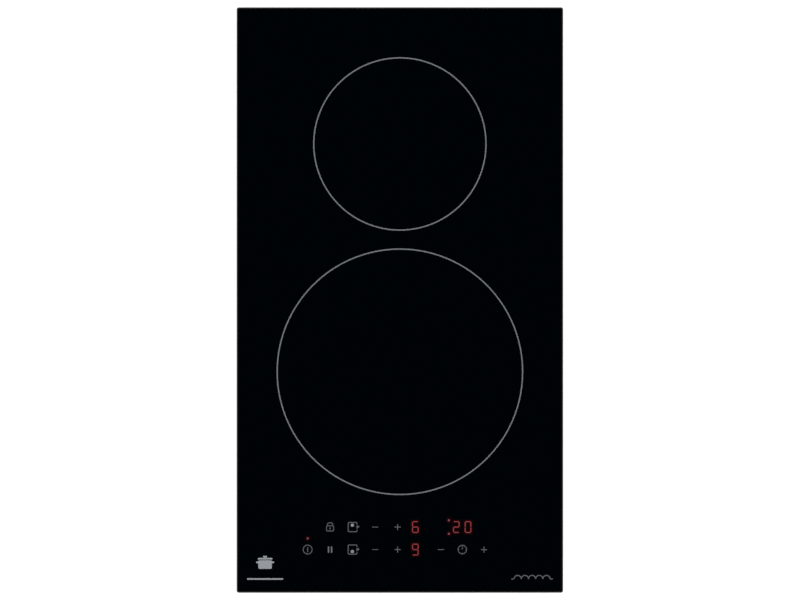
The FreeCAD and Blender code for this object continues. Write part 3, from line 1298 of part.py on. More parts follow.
def board_screws():
    x0 = BOARD_LEFT + BOARD_SCREW_INSET
    x1 = BOARD_RIGHT - BOARD_SCREW_INSET
    y0 = BOARD_FRONT + BOARD_SCREW_INSET
    y1 = BOARD_BACK - BOARD_SCREW_INSET
    return [(x0, y0), (x1, y0), (x0, y1), (x1, y1), (FRONT_MID_SCREW_X, y0), (REAR_MID_SCREW_X, y1)]


def board_holder():
    """Insulating tray between the power board and the case, with a post under each board screw."""
    cy = (BOARD_BACK + BOARD_FRONT) / 2
    rim = HOLDER_PLATE
    width = BOARD_RIGHT - BOARD_LEFT + 3 * rim
    depth = BOARD_BACK - BOARD_FRONT + 3 * rim
    under = FLOOR_TOP + SHEET
    top = POWER_BOARD_TOP + rim
    body = rounded(0, cy, width, depth, 2 * rim, under, top)
    body = body.cut(rounded(0, cy, width - 2 * rim, depth - 2 * rim, rim, under + HOLDER_PLATE, top + PAST))
    post_r = 2.5 * SMALL_SCREW_R
    posts = [disc(x, y, post_r, FLOOR_TOP, POWER_BOARD_UNDER) for x, y in board_screws()]
    bore_r = SMALL_SCREW_R + SCREW_CLEARANCE
    bores = [disc(x, y, bore_r, FLOOR_TOP + SHEET, top) for x, y in board_screws()]
    return fuse([body, *posts]).cut(bores)


def power_board():
    board = block(BOARD_LEFT, BOARD_RIGHT, BOARD_FRONT, BOARD_BACK, POWER_BOARD_UNDER, POWER_BOARD_TOP)
    hole_r = SMALL_SCREW_R + 4 * SCREW_CLEARANCE
    levels = (POWER_BOARD_UNDER - PAST, POWER_BOARD_TOP + PAST)
    return board.cut([disc(x, y, hole_r, *levels) for x, y in board_screws()])


def heat_sink():
    """Extrusion with level fins in the blower's air stream and a flat wall for the transistors."""
    y0 = HEATSINK_BACK - HEATSINK_LENGTH
    top = POWER_BOARD_TOP + COMPONENT_HEIGHT
    wall_x = HEATSINK_RIGHT - HEATSINK_WALL
    wall = block(wall_x, HEATSINK_RIGHT, y0, HEATSINK_BACK, POWER_BOARD_TOP, top)
    levels = spaced(POWER_BOARD_TOP + FIN_THICK, top - FIN_THICK, FIN_PITCH)
    fins = [block(HEATSINK_LEFT, wall_x + 1, y0, HEATSINK_BACK, z, z + FIN_THICK) for z in levels]
    bore_r = SMALL_SCREW_R + SCREW_CLEARANCE
    bore_x = HEATSINK_RIGHT - 0.8 * HEATSINK_WALL
    bores = [bar_x(bore_r, bore_x, HEATSINK_RIGHT + PAST, y, CLIP_Z) for y in clip_screws()]
    return fuse([wall, *fins]).cut(bores)


def transistor_places():
    """Middle of the rectifier and of each transistor, from the rear forwards."""
    return [FIRST_TRANSISTOR_Y - TRANSISTOR_PITCH * k for k in range(TRANSISTOR_COUNT + 1)]


def clip_screws():
    """Three places halfway between packages."""
    places = transistor_places()
    return [(places[k] + places[k + 1]) / 2 for k in (0, 2, 3)]


def power_transistors():
    """Bridge rectifier and power transistors, upright against the heat sink."""
    packages = []
    x = HEATSINK_RIGHT
    foot = POWER_BOARD_TOP + TRANSISTOR_LEG
    for k, y in enumerate(transistor_places()):
        width = RECTIFIER_WIDTH if k == 0 else TRANSISTOR_WIDTH
        top = POWER_BOARD_TOP + 0.9 * COMPONENT_HEIGHT
        body = block(x, x + TRANSISTOR_THICK, y - width / 2, y + width / 2, foot, top)
        face = [e for e in body.Edges if e.BoundBox.XMin > x + TRANSISTOR_THICK / 2]
        body = body.makeChamfer(TRANSISTOR_THICK / 8, face)
        pin = centred(x + TRANSISTOR_THICK / 2, y, 0.8, 1.2, POWER_BOARD_TOP, foot)
        packages.append(fuse([body, *[moved(pin, 0, side * width / 3) for side in (-1, 0, 1)]]))
    return packages


def transistor_clip():
    """Long spring strip that presses the transistors to the heat sink."""
    places = transistor_places()
    y0 = places[-1] - TRANSISTOR_WIDTH / 2
    y1 = places[0] + RECTIFIER_WIDTH / 2
    top = CLIP_Z + CLIP_HALF
    strip = block(CLIP_X, CLIP_X + CLIP_THICK, y0, y1, CLIP_Z - CLIP_HALF, top)
    flange = block(CLIP_X, CLIP_X + 4 * CLIP_THICK, y0, y1, top - CLIP_THICK, top)
    hole_r = SMALL_SCREW_R + 4 * SCREW_CLEARANCE
    holes = [bar_x(hole_r, CLIP_X - PAST, CLIP_X + 2 * PAST, y, CLIP_Z) for y in clip_screws()]
    return fuse([strip, flange]).cut(holes)


def filter_choke():
    """Ring core with two windings of round wire, a gap between them at the front and the rear."""
    x = BOARD_RIGHT - CHOKE_INSET
    y = BOARD_BACK - CHOKE_INSET - SOCKET_INSET
    loop_r = CHOKE_CORE_R + CHOKE_WIRE_R + SCREW_CLEARANCE
    z = POWER_BOARD_TOP + loop_r + 1.5 * CHOKE_WIRE_R
    parts = [Part.makeTorus(CHOKE_RING_R, CHOKE_CORE_R, Vec(x, y, z))]
    loop = Part.makeTorus(loop_r, CHOKE_WIRE_R, Vec(CHOKE_RING_R, 0, 0), REAR)
    for angle in (360.0 / CHOKE_TURNS * k for k in range(CHOKE_TURNS)):
        if abs(math.cos(math.radians(angle))) > 0.25:
            parts.append(moved(turned(loop, angle), x, y, z))
    return parts


def soft_block(cx, cy, width, depth, height):
    """Component body on the power board with softened edges."""
    body = centred(cx, cy, width, depth, POWER_BOARD_TOP, POWER_BOARD_TOP + height)
    edges = [e for e in body.Edges if e.BoundBox.ZMax > POWER_BOARD_TOP + 0.01]
    return body.makeFillet(1.0, edges)


def film_capacitors():
    """Resonance capacitors at the right, link capacitors in the middle and mains filter capacitors behind."""
    tall = COMPONENT_HEIGHT
    big_x = BOARD_RIGHT - BIG_CAP_INSET
    caps = [
        soft_block(big_x, BIG_CAP_Y - BIG_CAP_PITCH * k, BIG_CAP_WIDTH, BIG_CAP_DEPTH, tall)
        for k in range(BIG_CAP_COUNT)
    ]
    low = 0.9 * tall
    caps += [
        soft_block(LINK_CAP_X, LINK_CAP_Y - LINK_CAP_PITCH * k, LINK_CAP_WIDTH, LINK_CAP_DEPTH, low)
        for k in range(2)
    ]
    filter_x = BOARD_RIGHT - FILTER_CAP_INSET
    caps.append(soft_block(filter_x, FILTER_CAP_Y, LINK_CAP_WIDTH, LINK_CAP_DEPTH, low))
    small_y = FILTER_CAP_Y - LINK_CAP_DEPTH - SMALL_CAP_DEPTH / 2
    caps.append(soft_block(filter_x, small_y, SMALL_CAP_WIDTH, SMALL_CAP_DEPTH, 0.7 * tall))
    return caps


def electrolytic(x, y, radius, height):
    """Round can with a crimped waist near its foot."""
    can = disc(x, y, radius, POWER_BOARD_TOP, POWER_BOARD_TOP + height)
    can = can.makeFillet(0.7, [e for e in can.Edges if e.Closed])
    waist = POWER_BOARD_TOP + 0.15 * height
    return can.cut(tube(x, y, radius + PAST, radius - 0.5, waist, waist + 0.8))


def electrolytic_capacitors():
    """One bulk can and two small ones on the supply side, and a pair at the front right."""
    bulk_y = TRANSFORMER_Y - TRANSFORMER_WIDTH - BULK_CAP_R - 4
    tall = COMPONENT_HEIGHT
    cans = [electrolytic(SUPPLY_X, bulk_y, BULK_CAP_R, tall)]
    first = bulk_y - BULK_CAP_R - 2 * SUPPLY_CAP_R
    cans += [electrolytic(SUPPLY_X, first - SUPPLY_CAP_PITCH * k, SUPPLY_CAP_R, 0.8 * tall) for k in range(2)]
    right = BOARD_RIGHT - SUPPLY_CAP_PITCH
    row_y = BOARD_FRONT + 2 * SUPPLY_CAP_PITCH
    cans += [electrolytic(right - SUPPLY_CAP_PITCH * k, row_y, SUPPLY_CAP_R, 0.75 * tall) for k in range(2)]
    return cans


def supply_transformer():
    """E-shaped core halves round a taped winding on a pinned former."""
    width = TRANSFORMER_WIDTH
    foot_top = POWER_BOARD_TOP + width / 12
    top = POWER_BOARD_TOP + 0.95 * COMPONENT_HEIGHT
    rail = width / 8
    core = centred(SUPPLY_X, TRANSFORMER_Y, width, width / 3, foot_top, top)
    windows = [
        centred(SUPPLY_X + dx, TRANSFORMER_Y, width / 4, width, foot_top + rail, top - rail)
        for dx in both_ways(0.28 * width)
    ]
    coil = rounded(SUPPLY_X, TRANSFORMER_Y, 0.76 * width, 0.7 * width, rail, foot_top + rail, top - rail)
    foot = centred(SUPPLY_X, TRANSFORMER_Y, 0.92 * width, 0.84 * width, POWER_BOARD_TOP, foot_top)
    return fuse([core.cut(windows), coil, foot])


def board_relay():
    return soft_block(BOARD_RIGHT - RELAY_INSET, RELAY_Y, RELAY_WIDTH, RELAY_DEPTH, 0.85 * COMPONENT_HEIGHT)


def board_sockets():
    """Sockets for the ribbon, the mains wires and the fan, and a post for each coil lead."""
    z0 = POWER_BOARD_TOP
    z1 = z0 + SOCKET_HEIGHT
    sockets = [centred(RIBBON_X, SOCKET_Y, RIBBON_WIDTH + 4, SOCKET_HEIGHT, z0, z1)]
    sockets.append(centred(MAINS_X, REAR_SOCKET_Y, 3.75 * MAINS_PITCH, MAINS_PITCH, z0, z1))
    sockets.append(centred(FAN_SOCKET_X, REAR_SOCKET_Y, 8.0, SOCKET_HEIGHT, z0, z1))
    for starts, lean in ((FRONT_LEADS, FRONT_LEAD_SHIFT), (REAR_LEADS, REAR_LEAD_SHIFT)):
        sockets += [centred(x, y + lean, POST_HEIGHT, POST_HEIGHT, z0, z0 + POST_HEIGHT) for x, y in starts]
    return sockets


def mains_wires():
    """Three wires from the terminal bay to the power board."""
    wires = []
    level = GLAND_Z + MAINS_WIRE_R
    top = POWER_BOARD_TOP + SOCKET_HEIGHT
    y0 = TERMINAL_Y - BAY_DEPTH / 2 - BAY_WALL
    gap = y0 - REAR_SOCKET_Y
    for k in (-1, 0, 1):
        x0 = TERMINAL_X + MAINS_PITCH * k
        x1 = MAINS_X + MAINS_PITCH * k
        dip = (x0, y0 - 0.46 * gap, level - 4 * MAINS_WIRE_R)
        leaving = [(x0, y0, level), (x0, y0 - 0.17 * gap, level), dip]
        rising = (x1, REAR_SOCKET_Y + 0.23 * gap, top + 4 * MAINS_WIRE_R)
        entering = [(x1, REAR_SOCKET_Y, top + 5 * MAINS_WIRE_R), (x1, REAR_SOCKET_Y, top)]
        wires.append(wire_along(leaving + [rising] + entering, MAINS_WIRE_R))
    return wires


def fan_wires():
    """Two thin wires from the motor, over the blower's cover and down to the power board."""
    wires = []
    over = BLOWER_TOP + BLOWER_WALL + FAN_WIRE_R
    top = POWER_BOARD_TOP + SOCKET_HEIGHT
    for k in (-1, 1):
        x0 = BLOWER_X + MOTOR_TUBE_R * k / 2
        y0 = BLOWER_Y - 3 * MOTOR_TUBE_R
        x1 = FAN_SOCKET_X + 2 * k
        route = [
            (x0, y0, BLOWER_TOP), (x0, y0, over), (x1, MOUTH_Y + 4, over), (x1, MOUTH_Y - 6, over - 6),
            (x1, REAR_SOCKET_Y, top + 5), (x1, REAR_SOCKET_Y, top),
        ]
        wires.append(wire_along(route, FAN_WIRE_R))
    return wires


# ---------- Mains terminal ----------


def terminal_housing():
    """Insulating box over the tray's opening, with bearings for the cover's trunnions."""
    width = BAY_WIDTH + 2 * BAY_WALL
    depth = BAY_DEPTH + 2 * BAY_WALL
    box = rounded(TERMINAL_X, TERMINAL_Y, width, depth, BAY_WALL, FLOOR_TOP, BAY_CEILING + BAY_WALL)
    foot_width = width + 2 * BAY_FLANGE
    foot = rounded(TERMINAL_X, TERMINAL_Y, foot_width, depth, BAY_WALL, FLOOR_TOP, FLOOR_TOP + BAY_WALL)
    x0 = TERMINAL_X - width / 2 - PAST
    x1 = TERMINAL_X + width / 2 + PAST
    bearing = bar_x(TRUNNION_R + TRUNNION_CLEARANCE, x0, x1, HINGE_Y, HINGE_Z)
    rear = TERMINAL_Y + depth / 2
    cord = bar_y(GLAND_BORE_R + 2 * COVER_GAP, rear - 2 * BAY_WALL, rear + PAST, TERMINAL_X, GLAND_Z)
    front = TERMINAL_Y - depth / 2
    wire = bar_y(1.25 * MAINS_WIRE_R, front - PAST, front + 2 * BAY_WALL, TERMINAL_X, GLAND_Z + MAINS_WIRE_R)
    wires = [moved(wire, MAINS_PITCH * k) for k in (-1, 0, 1)]
    return fuse([box, foot]).cut([bay_space(FLOOR_TOP - PAST, BAY_CEILING), bearing, cord, *wires])


def way_places():
    """Middle of each way of the terminal block."""
    first = TERMINAL_X - WAY_PITCH * (WAYS - 1) / 2
    return [first + WAY_PITCH * k for k in range(WAYS)]


def terminal_block():
    """Block that hangs in the bay with its screws facing down."""
    y = TERMINAL_Y - BLOCK_OFFSET
    under = BAY_CEILING - BLOCK_HEIGHT
    body = centred(TERMINAL_X, y, BLOCK_WIDTH, BLOCK_DEPTH, under, BAY_CEILING)
    half = WAY_PITCH / 2
    cuts = []
    for x in way_places():
        cuts.append(disc(x, y, 0.48 * half, under - PAST, under + half))
        cuts.append(centred(x, y + BLOCK_DEPTH / 2, half, half, under + 0.6 * half, under + 1.5 * half))
        cuts.append(centred(x + half, y, 0.8, 2 * BLOCK_DEPTH, under - PAST, under + half / 2))
    return body.cut(cuts)


def hanging_screw(x, y, seat, head_r, length):
    """Cheese-head screw whose head hangs below its seat."""
    head_under = seat - 1.6
    slot = centred(x, y, THIN_LINE, 3 * head_r, head_under - PAST, head_under + 0.7)
    return fuse([disc(x, y, head_r, head_under, seat), disc(x, y, head_r / 2, seat, seat + length)]).cut(slot)


def cord_clamp_screws():
    return [(TERMINAL_X + dx, CORD_CLAMP_Y) for dx in both_ways(0.375 * CORD_CLAMP_WIDTH)]


def terminal_screws():
    """Screws of the terminal block and of the cord clamp, heads down."""
    seat = BAY_CEILING - BLOCK_HEIGHT + WAY_PITCH / 4
    screws = [hanging_screw(x, TERMINAL_Y - BLOCK_OFFSET, seat, WAY_PITCH / 5, 2.0) for x in way_places()]
    length = 2.2 * CORD_CLAMP_THICK
    return screws + [hanging_screw(x, y, CORD_CLAMP_UNDER, 2.6, length) for x, y in cord_clamp_screws()]


def cord_clamp():
    """Saddle bar under the cord and the anchor above it that it is screwed to."""
    top = CORD_CLAMP_UNDER + CORD_CLAMP_THICK
    cord_r = GLAND_BORE_R + CORD_CLEARANCE
    y0 = CORD_CLAMP_Y - CORD_CLAMP_DEPTH
    y1 = CORD_CLAMP_Y + CORD_CLAMP_DEPTH
    cord = bar_y(cord_r, y0, y1, TERMINAL_X, GLAND_Z)
    size = (CORD_CLAMP_WIDTH, CORD_CLAMP_DEPTH)
    bar = rounded(TERMINAL_X, CORD_CLAMP_Y, *size, 2.0, CORD_CLAMP_UNDER, top)
    anchor = centred(TERMINAL_X, CORD_CLAMP_Y, *size, top + COVER_GAP, BAY_CEILING)
    bore_r = 2.6 / 2 + SCREW_CLEARANCE
    bores = [
        disc(x, y, bore_r, CORD_CLAMP_UNDER - PAST, CORD_CLAMP_UNDER + 2.4 * CORD_CLAMP_THICK)
        for x, y in cord_clamp_screws()
    ]
    return [bar.cut([cord, *bores]), anchor.cut([cord, *bores])]


def cable_gland():
    """Flanged bush in the rear wall; the mains cord enters through its bore."""
    wall = TRAY_DEPTH / 2
    front = TERMINAL_Y + BAY_DEPTH / 2 + BAY_WALL + COVER_GAP
    outer_r = GLAND_BORE_R + GLAND_WALL
    barrel = bar_y(outer_r, front, wall, TERMINAL_X, GLAND_Z)
    end = wall + GLAND_FLANGE
    flange = bar_y(outer_r + GLAND_FLANGE, wall, end, TERMINAL_X, GLAND_Z)
    rim = [e for e in flange.Edges if e.Closed and e.BoundBox.YMin > wall + GLAND_FLANGE / 2]
    flange = flange.makeFillet(0.6 * GLAND_FLANGE, rim)
    return fuse([barrel, flange]).cut(bar_y(GLAND_BORE_R, front - PAST, end + PAST, TERMINAL_X, GLAND_Z))


def terminal_cover():
    """Flap that closes the bay flush with the tray's underside, on two trunnions at its front edge."""
    x0 = TERMINAL_X - BAY_WIDTH / 2 + COVER_GAP
    x1 = TERMINAL_X + BAY_WIDTH / 2 - COVER_GAP
    y1 = TERMINAL_Y + BAY_DEPTH / 2 - COVER_GAP
    z0 = TRAY_UNDER + COVER_RECESS
    z1 = z0 + COVER_THICK
    plate = block(x0, x1, HINGE_Y, y1, z0, z1)
    barrel = bar_x(HINGE_R, x0, x1, HINGE_Y, HINGE_Z)
    reach = COVER_GAP + 0.9 * BAY_WALL
    pins = bar_x(TRUNNION_R, x0 - reach, x1 + reach, HINGE_Y, HINGE_Z)
    lip_x = 2.0
    lip_y = y1 - COVER_THICK
    wall = 1.4
    lips = [block(x0 + lip_x, x1 - lip_x, lip_y - wall, lip_y, z0, z1 + COVER_LIP)]
    side = block(0, wall, HINGE_Y + 3 * HINGE_R, lip_y, z0, z1 + 0.7 * COVER_LIP)
    lips += [moved(side, x) for x in (x0 + lip_x, x1 - lip_x - wall)]
    notch = centred(TERMINAL_X, y1, 9.0, COVER_THICK, z0 - PAST, z0 + COVER_THICK / 2)
    return fuse([plate, barrel, pins, *lips]).cut(notch)


# ---------- Worktop clamps ----------


def clamp_screw(end):
    """Long screw from below, through the arm, into the tapped collar of the pocket."""
    top = POCKET_TOP + CLAMP_TIP_PROUD
    head = disc(0, 0, CLAMP_HEAD_R, CLAMP_HEAD_UNDER, ARM_UNDER)
    head = head.makeFillet(0.4 * CLAMP_HEAD_THICK, edges_at(head, CLAMP_HEAD_UNDER))
    arms = ((1.1 * CLAMP_HEAD_R, PAST), (PAST, 1.1 * CLAMP_HEAD_R))
    slot_top = CLAMP_HEAD_UNDER + CLAMP_HEAD_THICK / 2
    slots = [centred(0, 0, width, depth, CLAMP_HEAD_UNDER - PAST, slot_top) for width, depth in arms]
    shank = disc(0, 0, CLAMP_SCREW_R, ARM_UNDER, top)
    shank = shank.makeChamfer(CLAMP_SCREW_R / 4, edges_at(shank, top))
    return at_end(moved(fuse([head, shank]).cut(slots), -CLAMP_X, -CLAMP_Y), end)


def clamp_arm(end):
    """Steel bar that swings out under the worktop, with its toothed tip bent up to bite."""
    z1 = ARM_UNDER + ARM_THICK
    half = ARM_WIDTH / 2
    bar = fuse([disc(0, 0, half, ARM_UNDER, z1), block(0, ARM_REACH, -half, half, ARM_UNDER, z1)])
    tip = block(ARM_REACH - ARM_THICK, ARM_REACH, -half, half, ARM_UNDER, ARM_TIP_TOP)
    hole = disc(0, 0, CLAMP_SCREW_R + ARM_CLEARANCE, ARM_UNDER - PAST, z1 + PAST)
    tooth = ARM_WIDTH / 8
    notch = centred(ARM_REACH, 0, 4 * ARM_THICK, tooth, ARM_TIP_TOP - tooth / 2, ARM_TIP_TOP + PAST)
    notches = [moved(notch, 0, 2 * tooth * k) for k in (-1, 0, 1)]
    return at_end(moved(fuse([bar, tip]).cut([hole, *notches]), -CLAMP_X, -CLAMP_Y), end)


def main():
    os.makedirs("parts", exist_ok=True)
    save("glass_plate", [glass_plate()])
    save("glass_print", glass_print())
    save("lit_digits", lit_digits())
    save("worktop_seal", [worktop_seal()])
    save("bonding_bead", [bonding_bead()])
    save("glass_frame", [glass_frame()])
    save("base_tray", [base_tray()])
    save("case_screws", case_screws())
    save("support_plate", [support_plate()])
    save("support_pillars", support_pillars())
    save("inner_screws", inner_screws())
    for zone, coil, pegs, starts, lean in (
        ("front", FRONT_COIL, FRONT_PEGS, FRONT_LEADS, FRONT_LEAD_SHIFT),
        ("rear", REAR_COIL, REAR_PEGS, REAR_LEADS, REAR_LEAD_SHIFT),
    ):
        save(zone + "_winding", [winding(*coil[:3])])
        save(zone + "_insulator", [insulator(*coil[:2])])
        save(zone + "_ferrites", ferrites(*coil))
        save(zone + "_coil_carrier", [coil_carrier(*coil, pegs)])
        save(zone + "_temperature_sensor", [temperature_sensor(coil[0])])
        save(zone + "_coil_springs", coil_springs(pegs))
        save(zone + "_coil_leads", coil_leads(starts, lean))
    save("control_board", [control_board()])
    save("control_holder", [control_holder()])
    save("display_modules", display_modules())
    save("touch_springs", touch_springs())
    save("control_springs", control_springs())
    save("ribbon_cable", [ribbon_cable()])
    save("blower_housing", [blower_housing()])
    save("blower_cover", [blower_cover()])
    save("fan_bearing", [fan_bearing()])
    save("fan_stator", [fan_stator()])
    save("fan_shaft", [fan_shaft()])
    save("fan_magnet", [fan_magnet()])
    save("fan_impeller", [fan_impeller()])
    save("board_holder", [board_holder()])
    save("power_board", [power_board()])
    save("heat_sink", [heat_sink()])
    save("power_transistors", power_transistors())
    save("transistor_clip", [transistor_clip()])
    save("filter_choke", filter_choke())
    save("film_capacitors", film_capacitors())
    save("electrolytic_capacitors", electrolytic_capacitors())
    save("supply_transformer", [supply_transformer()])
    save("board_relay", [board_relay()])
    save("board_sockets", board_sockets())
    save("inner_wires", mains_wires() + fan_wires())
    save("terminal_housing", [terminal_housing()])
    save("terminal_block", [terminal_block()])
    save("terminal_screws", terminal_screws())
    save("cord_clamp", cord_clamp())
    save("cable_gland", [cable_gland()])
    save("terminal_cover", [terminal_cover()])
    for side, end in (("front", -1), ("rear", 1)):
        save(side + "_clamp_screw", [clamp_screw(end)])
        save(side + "_clamp_arm", [clamp_arm(end)])


main()
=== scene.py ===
import json
import math

import bpy
import numpy as np
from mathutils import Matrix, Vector


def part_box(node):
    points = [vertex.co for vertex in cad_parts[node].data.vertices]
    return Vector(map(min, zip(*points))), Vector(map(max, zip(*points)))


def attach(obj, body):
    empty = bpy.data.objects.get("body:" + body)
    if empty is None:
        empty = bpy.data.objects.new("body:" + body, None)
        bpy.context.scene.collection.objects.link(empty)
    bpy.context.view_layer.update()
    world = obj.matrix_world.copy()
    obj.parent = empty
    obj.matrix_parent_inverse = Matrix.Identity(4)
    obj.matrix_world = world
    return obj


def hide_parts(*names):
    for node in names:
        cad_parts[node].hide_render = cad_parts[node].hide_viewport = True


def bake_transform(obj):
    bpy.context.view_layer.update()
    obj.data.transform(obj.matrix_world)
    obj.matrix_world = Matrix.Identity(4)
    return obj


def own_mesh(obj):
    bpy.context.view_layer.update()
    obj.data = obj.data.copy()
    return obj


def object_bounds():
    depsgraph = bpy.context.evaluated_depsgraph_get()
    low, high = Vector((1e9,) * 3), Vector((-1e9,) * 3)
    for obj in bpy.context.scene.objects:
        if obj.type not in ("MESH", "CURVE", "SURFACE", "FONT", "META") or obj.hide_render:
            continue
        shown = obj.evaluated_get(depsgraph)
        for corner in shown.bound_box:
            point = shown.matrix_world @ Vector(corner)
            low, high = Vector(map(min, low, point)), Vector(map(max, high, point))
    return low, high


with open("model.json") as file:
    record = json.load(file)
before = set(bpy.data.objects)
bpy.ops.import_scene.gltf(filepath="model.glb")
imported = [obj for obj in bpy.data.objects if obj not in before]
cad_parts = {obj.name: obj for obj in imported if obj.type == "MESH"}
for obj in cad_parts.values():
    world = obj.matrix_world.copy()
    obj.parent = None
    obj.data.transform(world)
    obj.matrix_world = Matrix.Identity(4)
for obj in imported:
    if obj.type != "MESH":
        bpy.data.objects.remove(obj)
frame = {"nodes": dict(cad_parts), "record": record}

nodes = frame["nodes"]
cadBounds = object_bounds()
millimetre = 0.001
print("frame loaded with", len(nodes), "nodes")


# small helpers for shader trees

def addNode(tree, kind, wires=None, **settings):
    # one node: settings are its own options, wires are sockets to link or values to set
    node = tree.nodes.new("ShaderNode" + kind)
    for label, value in settings.items():
        setattr(node, label, value)
    for socket, value in (wires or {}).items():
        if isinstance(value, bpy.types.NodeSocket):
            tree.links.new(value, node.inputs[socket])
        else:
            node.inputs[socket].default_value = value
    return node


def maths(tree, operation, *values, clamp=False):
    return addNode(tree, "Math", dict(enumerate(values)), operation=operation, use_clamp=clamp).outputs[0]


def times(tree, *values):
    return maths(tree, "MULTIPLY", *values)


def plus(tree, *values):
    return maths(tree, "ADD", *values)


def perMetre(tree, size):
    # how many of a size in millimetres go in a metre
    return maths(tree, "DIVIDE", 1000.0, size)


def zigzag(tree, value):
    # up to a half and down again with each whole number
    return maths(tree, "PINGPONG", value, 0.5)


def opposite(tree, mask):
    return maths(tree, "SUBTRACT", 1.0, mask)


def vectorMaths(tree, operation, *values):
    node = addNode(tree, "VectorMath", dict(enumerate(values)), operation=operation)
    return node.outputs["Value"] if operation in ("LENGTH", "DOT_PRODUCT") else node.outputs["Vector"]


def remap(tree, value, low, high, toLow=0.0, toHigh=1.0, smooth=True):
    # value from low..high becomes toLow..toHigh, held at both ends
    kind = "SMOOTHSTEP" if smooth else "LINEAR"
    wires = {"Value": value, "From Min": low, "From Max": high, "To Min": toLow, "To Max": toHigh}
    return addNode(tree, "MapRange", wires, interpolation_type=kind).outputs["Result"]


def vary(tree, height, low=0.0, high=1.0):
    # grain lies between 0.3 and 0.7, and here becomes low..high
    return remap(tree, height, 0.3, 0.7, low, high)


def blendValue(tree, factor, first, second):
    return addNode(tree, "Mix", {0: factor, 2: first, 3: second}).outputs[0]


def blendColour(tree, factor, *pair):
    first, second = [value if isinstance(value, bpy.types.NodeSocket) else solid(value) for value in pair]
    return addNode(tree, "Mix", {0: factor, 6: first, 7: second}, data_type="RGBA").outputs[2]


def greyOf(tree, red, green=None, blue=None):
    wires = {0: red, 1: green or red, 2: blue or red}
    return addNode(tree, "CombineColor", wires).outputs[0]


def solid(colour):
    # a colour with full alpha; a single number stands for a grey
    return (*colour, 1.0) if isinstance(colour, tuple) else (colour, colour, colour, 1.0)


def noise(tree, coordinates, scale, detail=3.0):
    wires = {"Vector": coordinates, "Scale": scale, "Detail": detail, "Roughness": 0.55}
    return addNode(tree, "TexNoise", wires).outputs[0]


def axes(tree, coordinates):
    return addNode(tree, "SeparateXYZ", {0: coordinates}).outputs


def fromAxis(tree, x, y):
    return vectorMaths(tree, "LENGTH", addNode(tree, "CombineXYZ", {0: x, 1: y}).outputs[0])


def upward(tree):
    return axes(tree, addNode(tree, "NewGeometry").outputs["Normal"])[2]


def alongPiece(tree):
    # length along a swept piece in metres, and turns round it
    return axes(tree, addNode(tree, "UVMap", uv_map="along").outputs[0])


def startGroup(name, output, **values):
    # a shader group that reads coordinates and named values and puts out one height or mask
    group = bpy.data.node_groups.new(name, "ShaderNodeTree")
    for label, value in {"Coordinates": (0, 0, 0), **values}.items():
        kind = "NodeSocketVector" if isinstance(value, tuple) else "NodeSocketFloat"
        socket = group.interface.new_socket(label.replace("_", " "), in_out="INPUT", socket_type=kind)
        socket.default_value = value
    group.interface.new_socket(output, in_out="OUTPUT", socket_type="NodeSocketFloat")
    return group, group.nodes.new("NodeGroupInput").outputs, group.nodes.new("NodeGroupOutput").inputs


def startMaterial(name, fixed):
    # a new material: fixed values go straight on the shader's own sockets
    material = bpy.data.materials.new(name)
    material.use_nodes = True
    tree = material.node_tree
    shader = tree.nodes["Principled BSDF"]
    for label, value in fixed.items():
        shader.inputs[label].default_value = solid(value) if isinstance(value, tuple) else value
    place = addNode(tree, "TexCoord").outputs["Object"]
    return material, tree, place


def wire(tree, source, label):
    tree.links.new(source, tree.nodes["Principled BSDF"].inputs[label])


def addRelief(tree, height, depth, strength):
    # bump whose height of 1 stands for a depth in millimetres
    wires = {"Height": height, "Distance": depth * millimetre, "Strength": strength}
    wire(tree, addNode(tree, "Bump", wires).outputs[0], "Normal")


def finished(material, tone, rough=None, relief=(), metallic=None):
    # joined to the shader: colour, roughness, relief as (height, depth, strength), and where it is metal
    tree = material.node_tree
    for value, label in ((tone, "Base Color"), (metallic, "Metallic"), (rough, "Roughness")):
        if value:
            wire(tree, value, label)
    addRelief(tree, *relief)
    return material


# shared effects, each built once

def makeGrain():
    # fine uneven relief, drawn out along an axis by a stretch below 1
    group, given, result = startGroup("grain", "Height", Size=0.5, Stretch=(1, 1, 1))
    drawn = vectorMaths(group, "MULTIPLY", given["Coordinates"], given["Stretch"])
    scale = perMetre(group, given["Size"])
    group.links.new(noise(group, drawn, scale), result["Height"])
    return group


def makeFlecks():
    # scattered round flecks: a share of the cells get one, smaller than the cell
    group, given, result = startGroup("flecks", "Mask", Size=1.0, Share=0.3)
    scale = perMetre(group, given["Size"])
    cells = addNode(group, "TexVoronoi", {"Vector": given["Coordinates"], "Scale": scale})
    chosen = maths(group, "LESS_THAN", axes(group, cells.outputs["Color"])[0], given["Share"])
    spot = remap(group, cells.outputs["Distance"], 0.32, 0.18)
    group.links.new(times(group, chosen, spot), result["Mask"])
    return group


def makeEdgeWearAndHighlight():
    # sharp edges, where the rounded normal leaves the true one, broken up by noise: partly scuffed by wear,
    # partly a painted highlight along them
    group, given, result = startGroup("edgeWearAndHighlight", "Mask", Radius=0.4, Breakup=4.0)
    radius = times(group, given["Radius"], millimetre)
    rounded = addNode(group, "Bevel", {"Radius": radius}, samples=4).outputs[0]
    true = addNode(group, "NewGeometry").outputs["Normal"]
    away = opposite(group, vectorMaths(group, "DOT_PRODUCT", rounded, true))
    scale = perMetre(group, given["Breakup"])
    patches = remap(group, noise(group, given["Coordinates"], scale), 0.38, 0.62)
    mask = times(group, remap(group, away, 0.02, 0.22), patches)
    group.links.new(mask, result["Mask"])
    return group


def makeDust():
    # settled dust: on faces that look up, in soft drifts
    group, given, result = startGroup("settledDust", "Mask", Amount=0.4, Drift=9.0)
    up = upward(group)
    scale = perMetre(group, given["Drift"])
    drifts = remap(group, noise(group, given["Coordinates"], scale, 5.0), 0.3, 0.75)
    mask = times(group, remap(group, up, 0.2, 0.95), drifts)
    group.links.new(times(group, mask, given["Amount"]), result["Mask"])
    return group


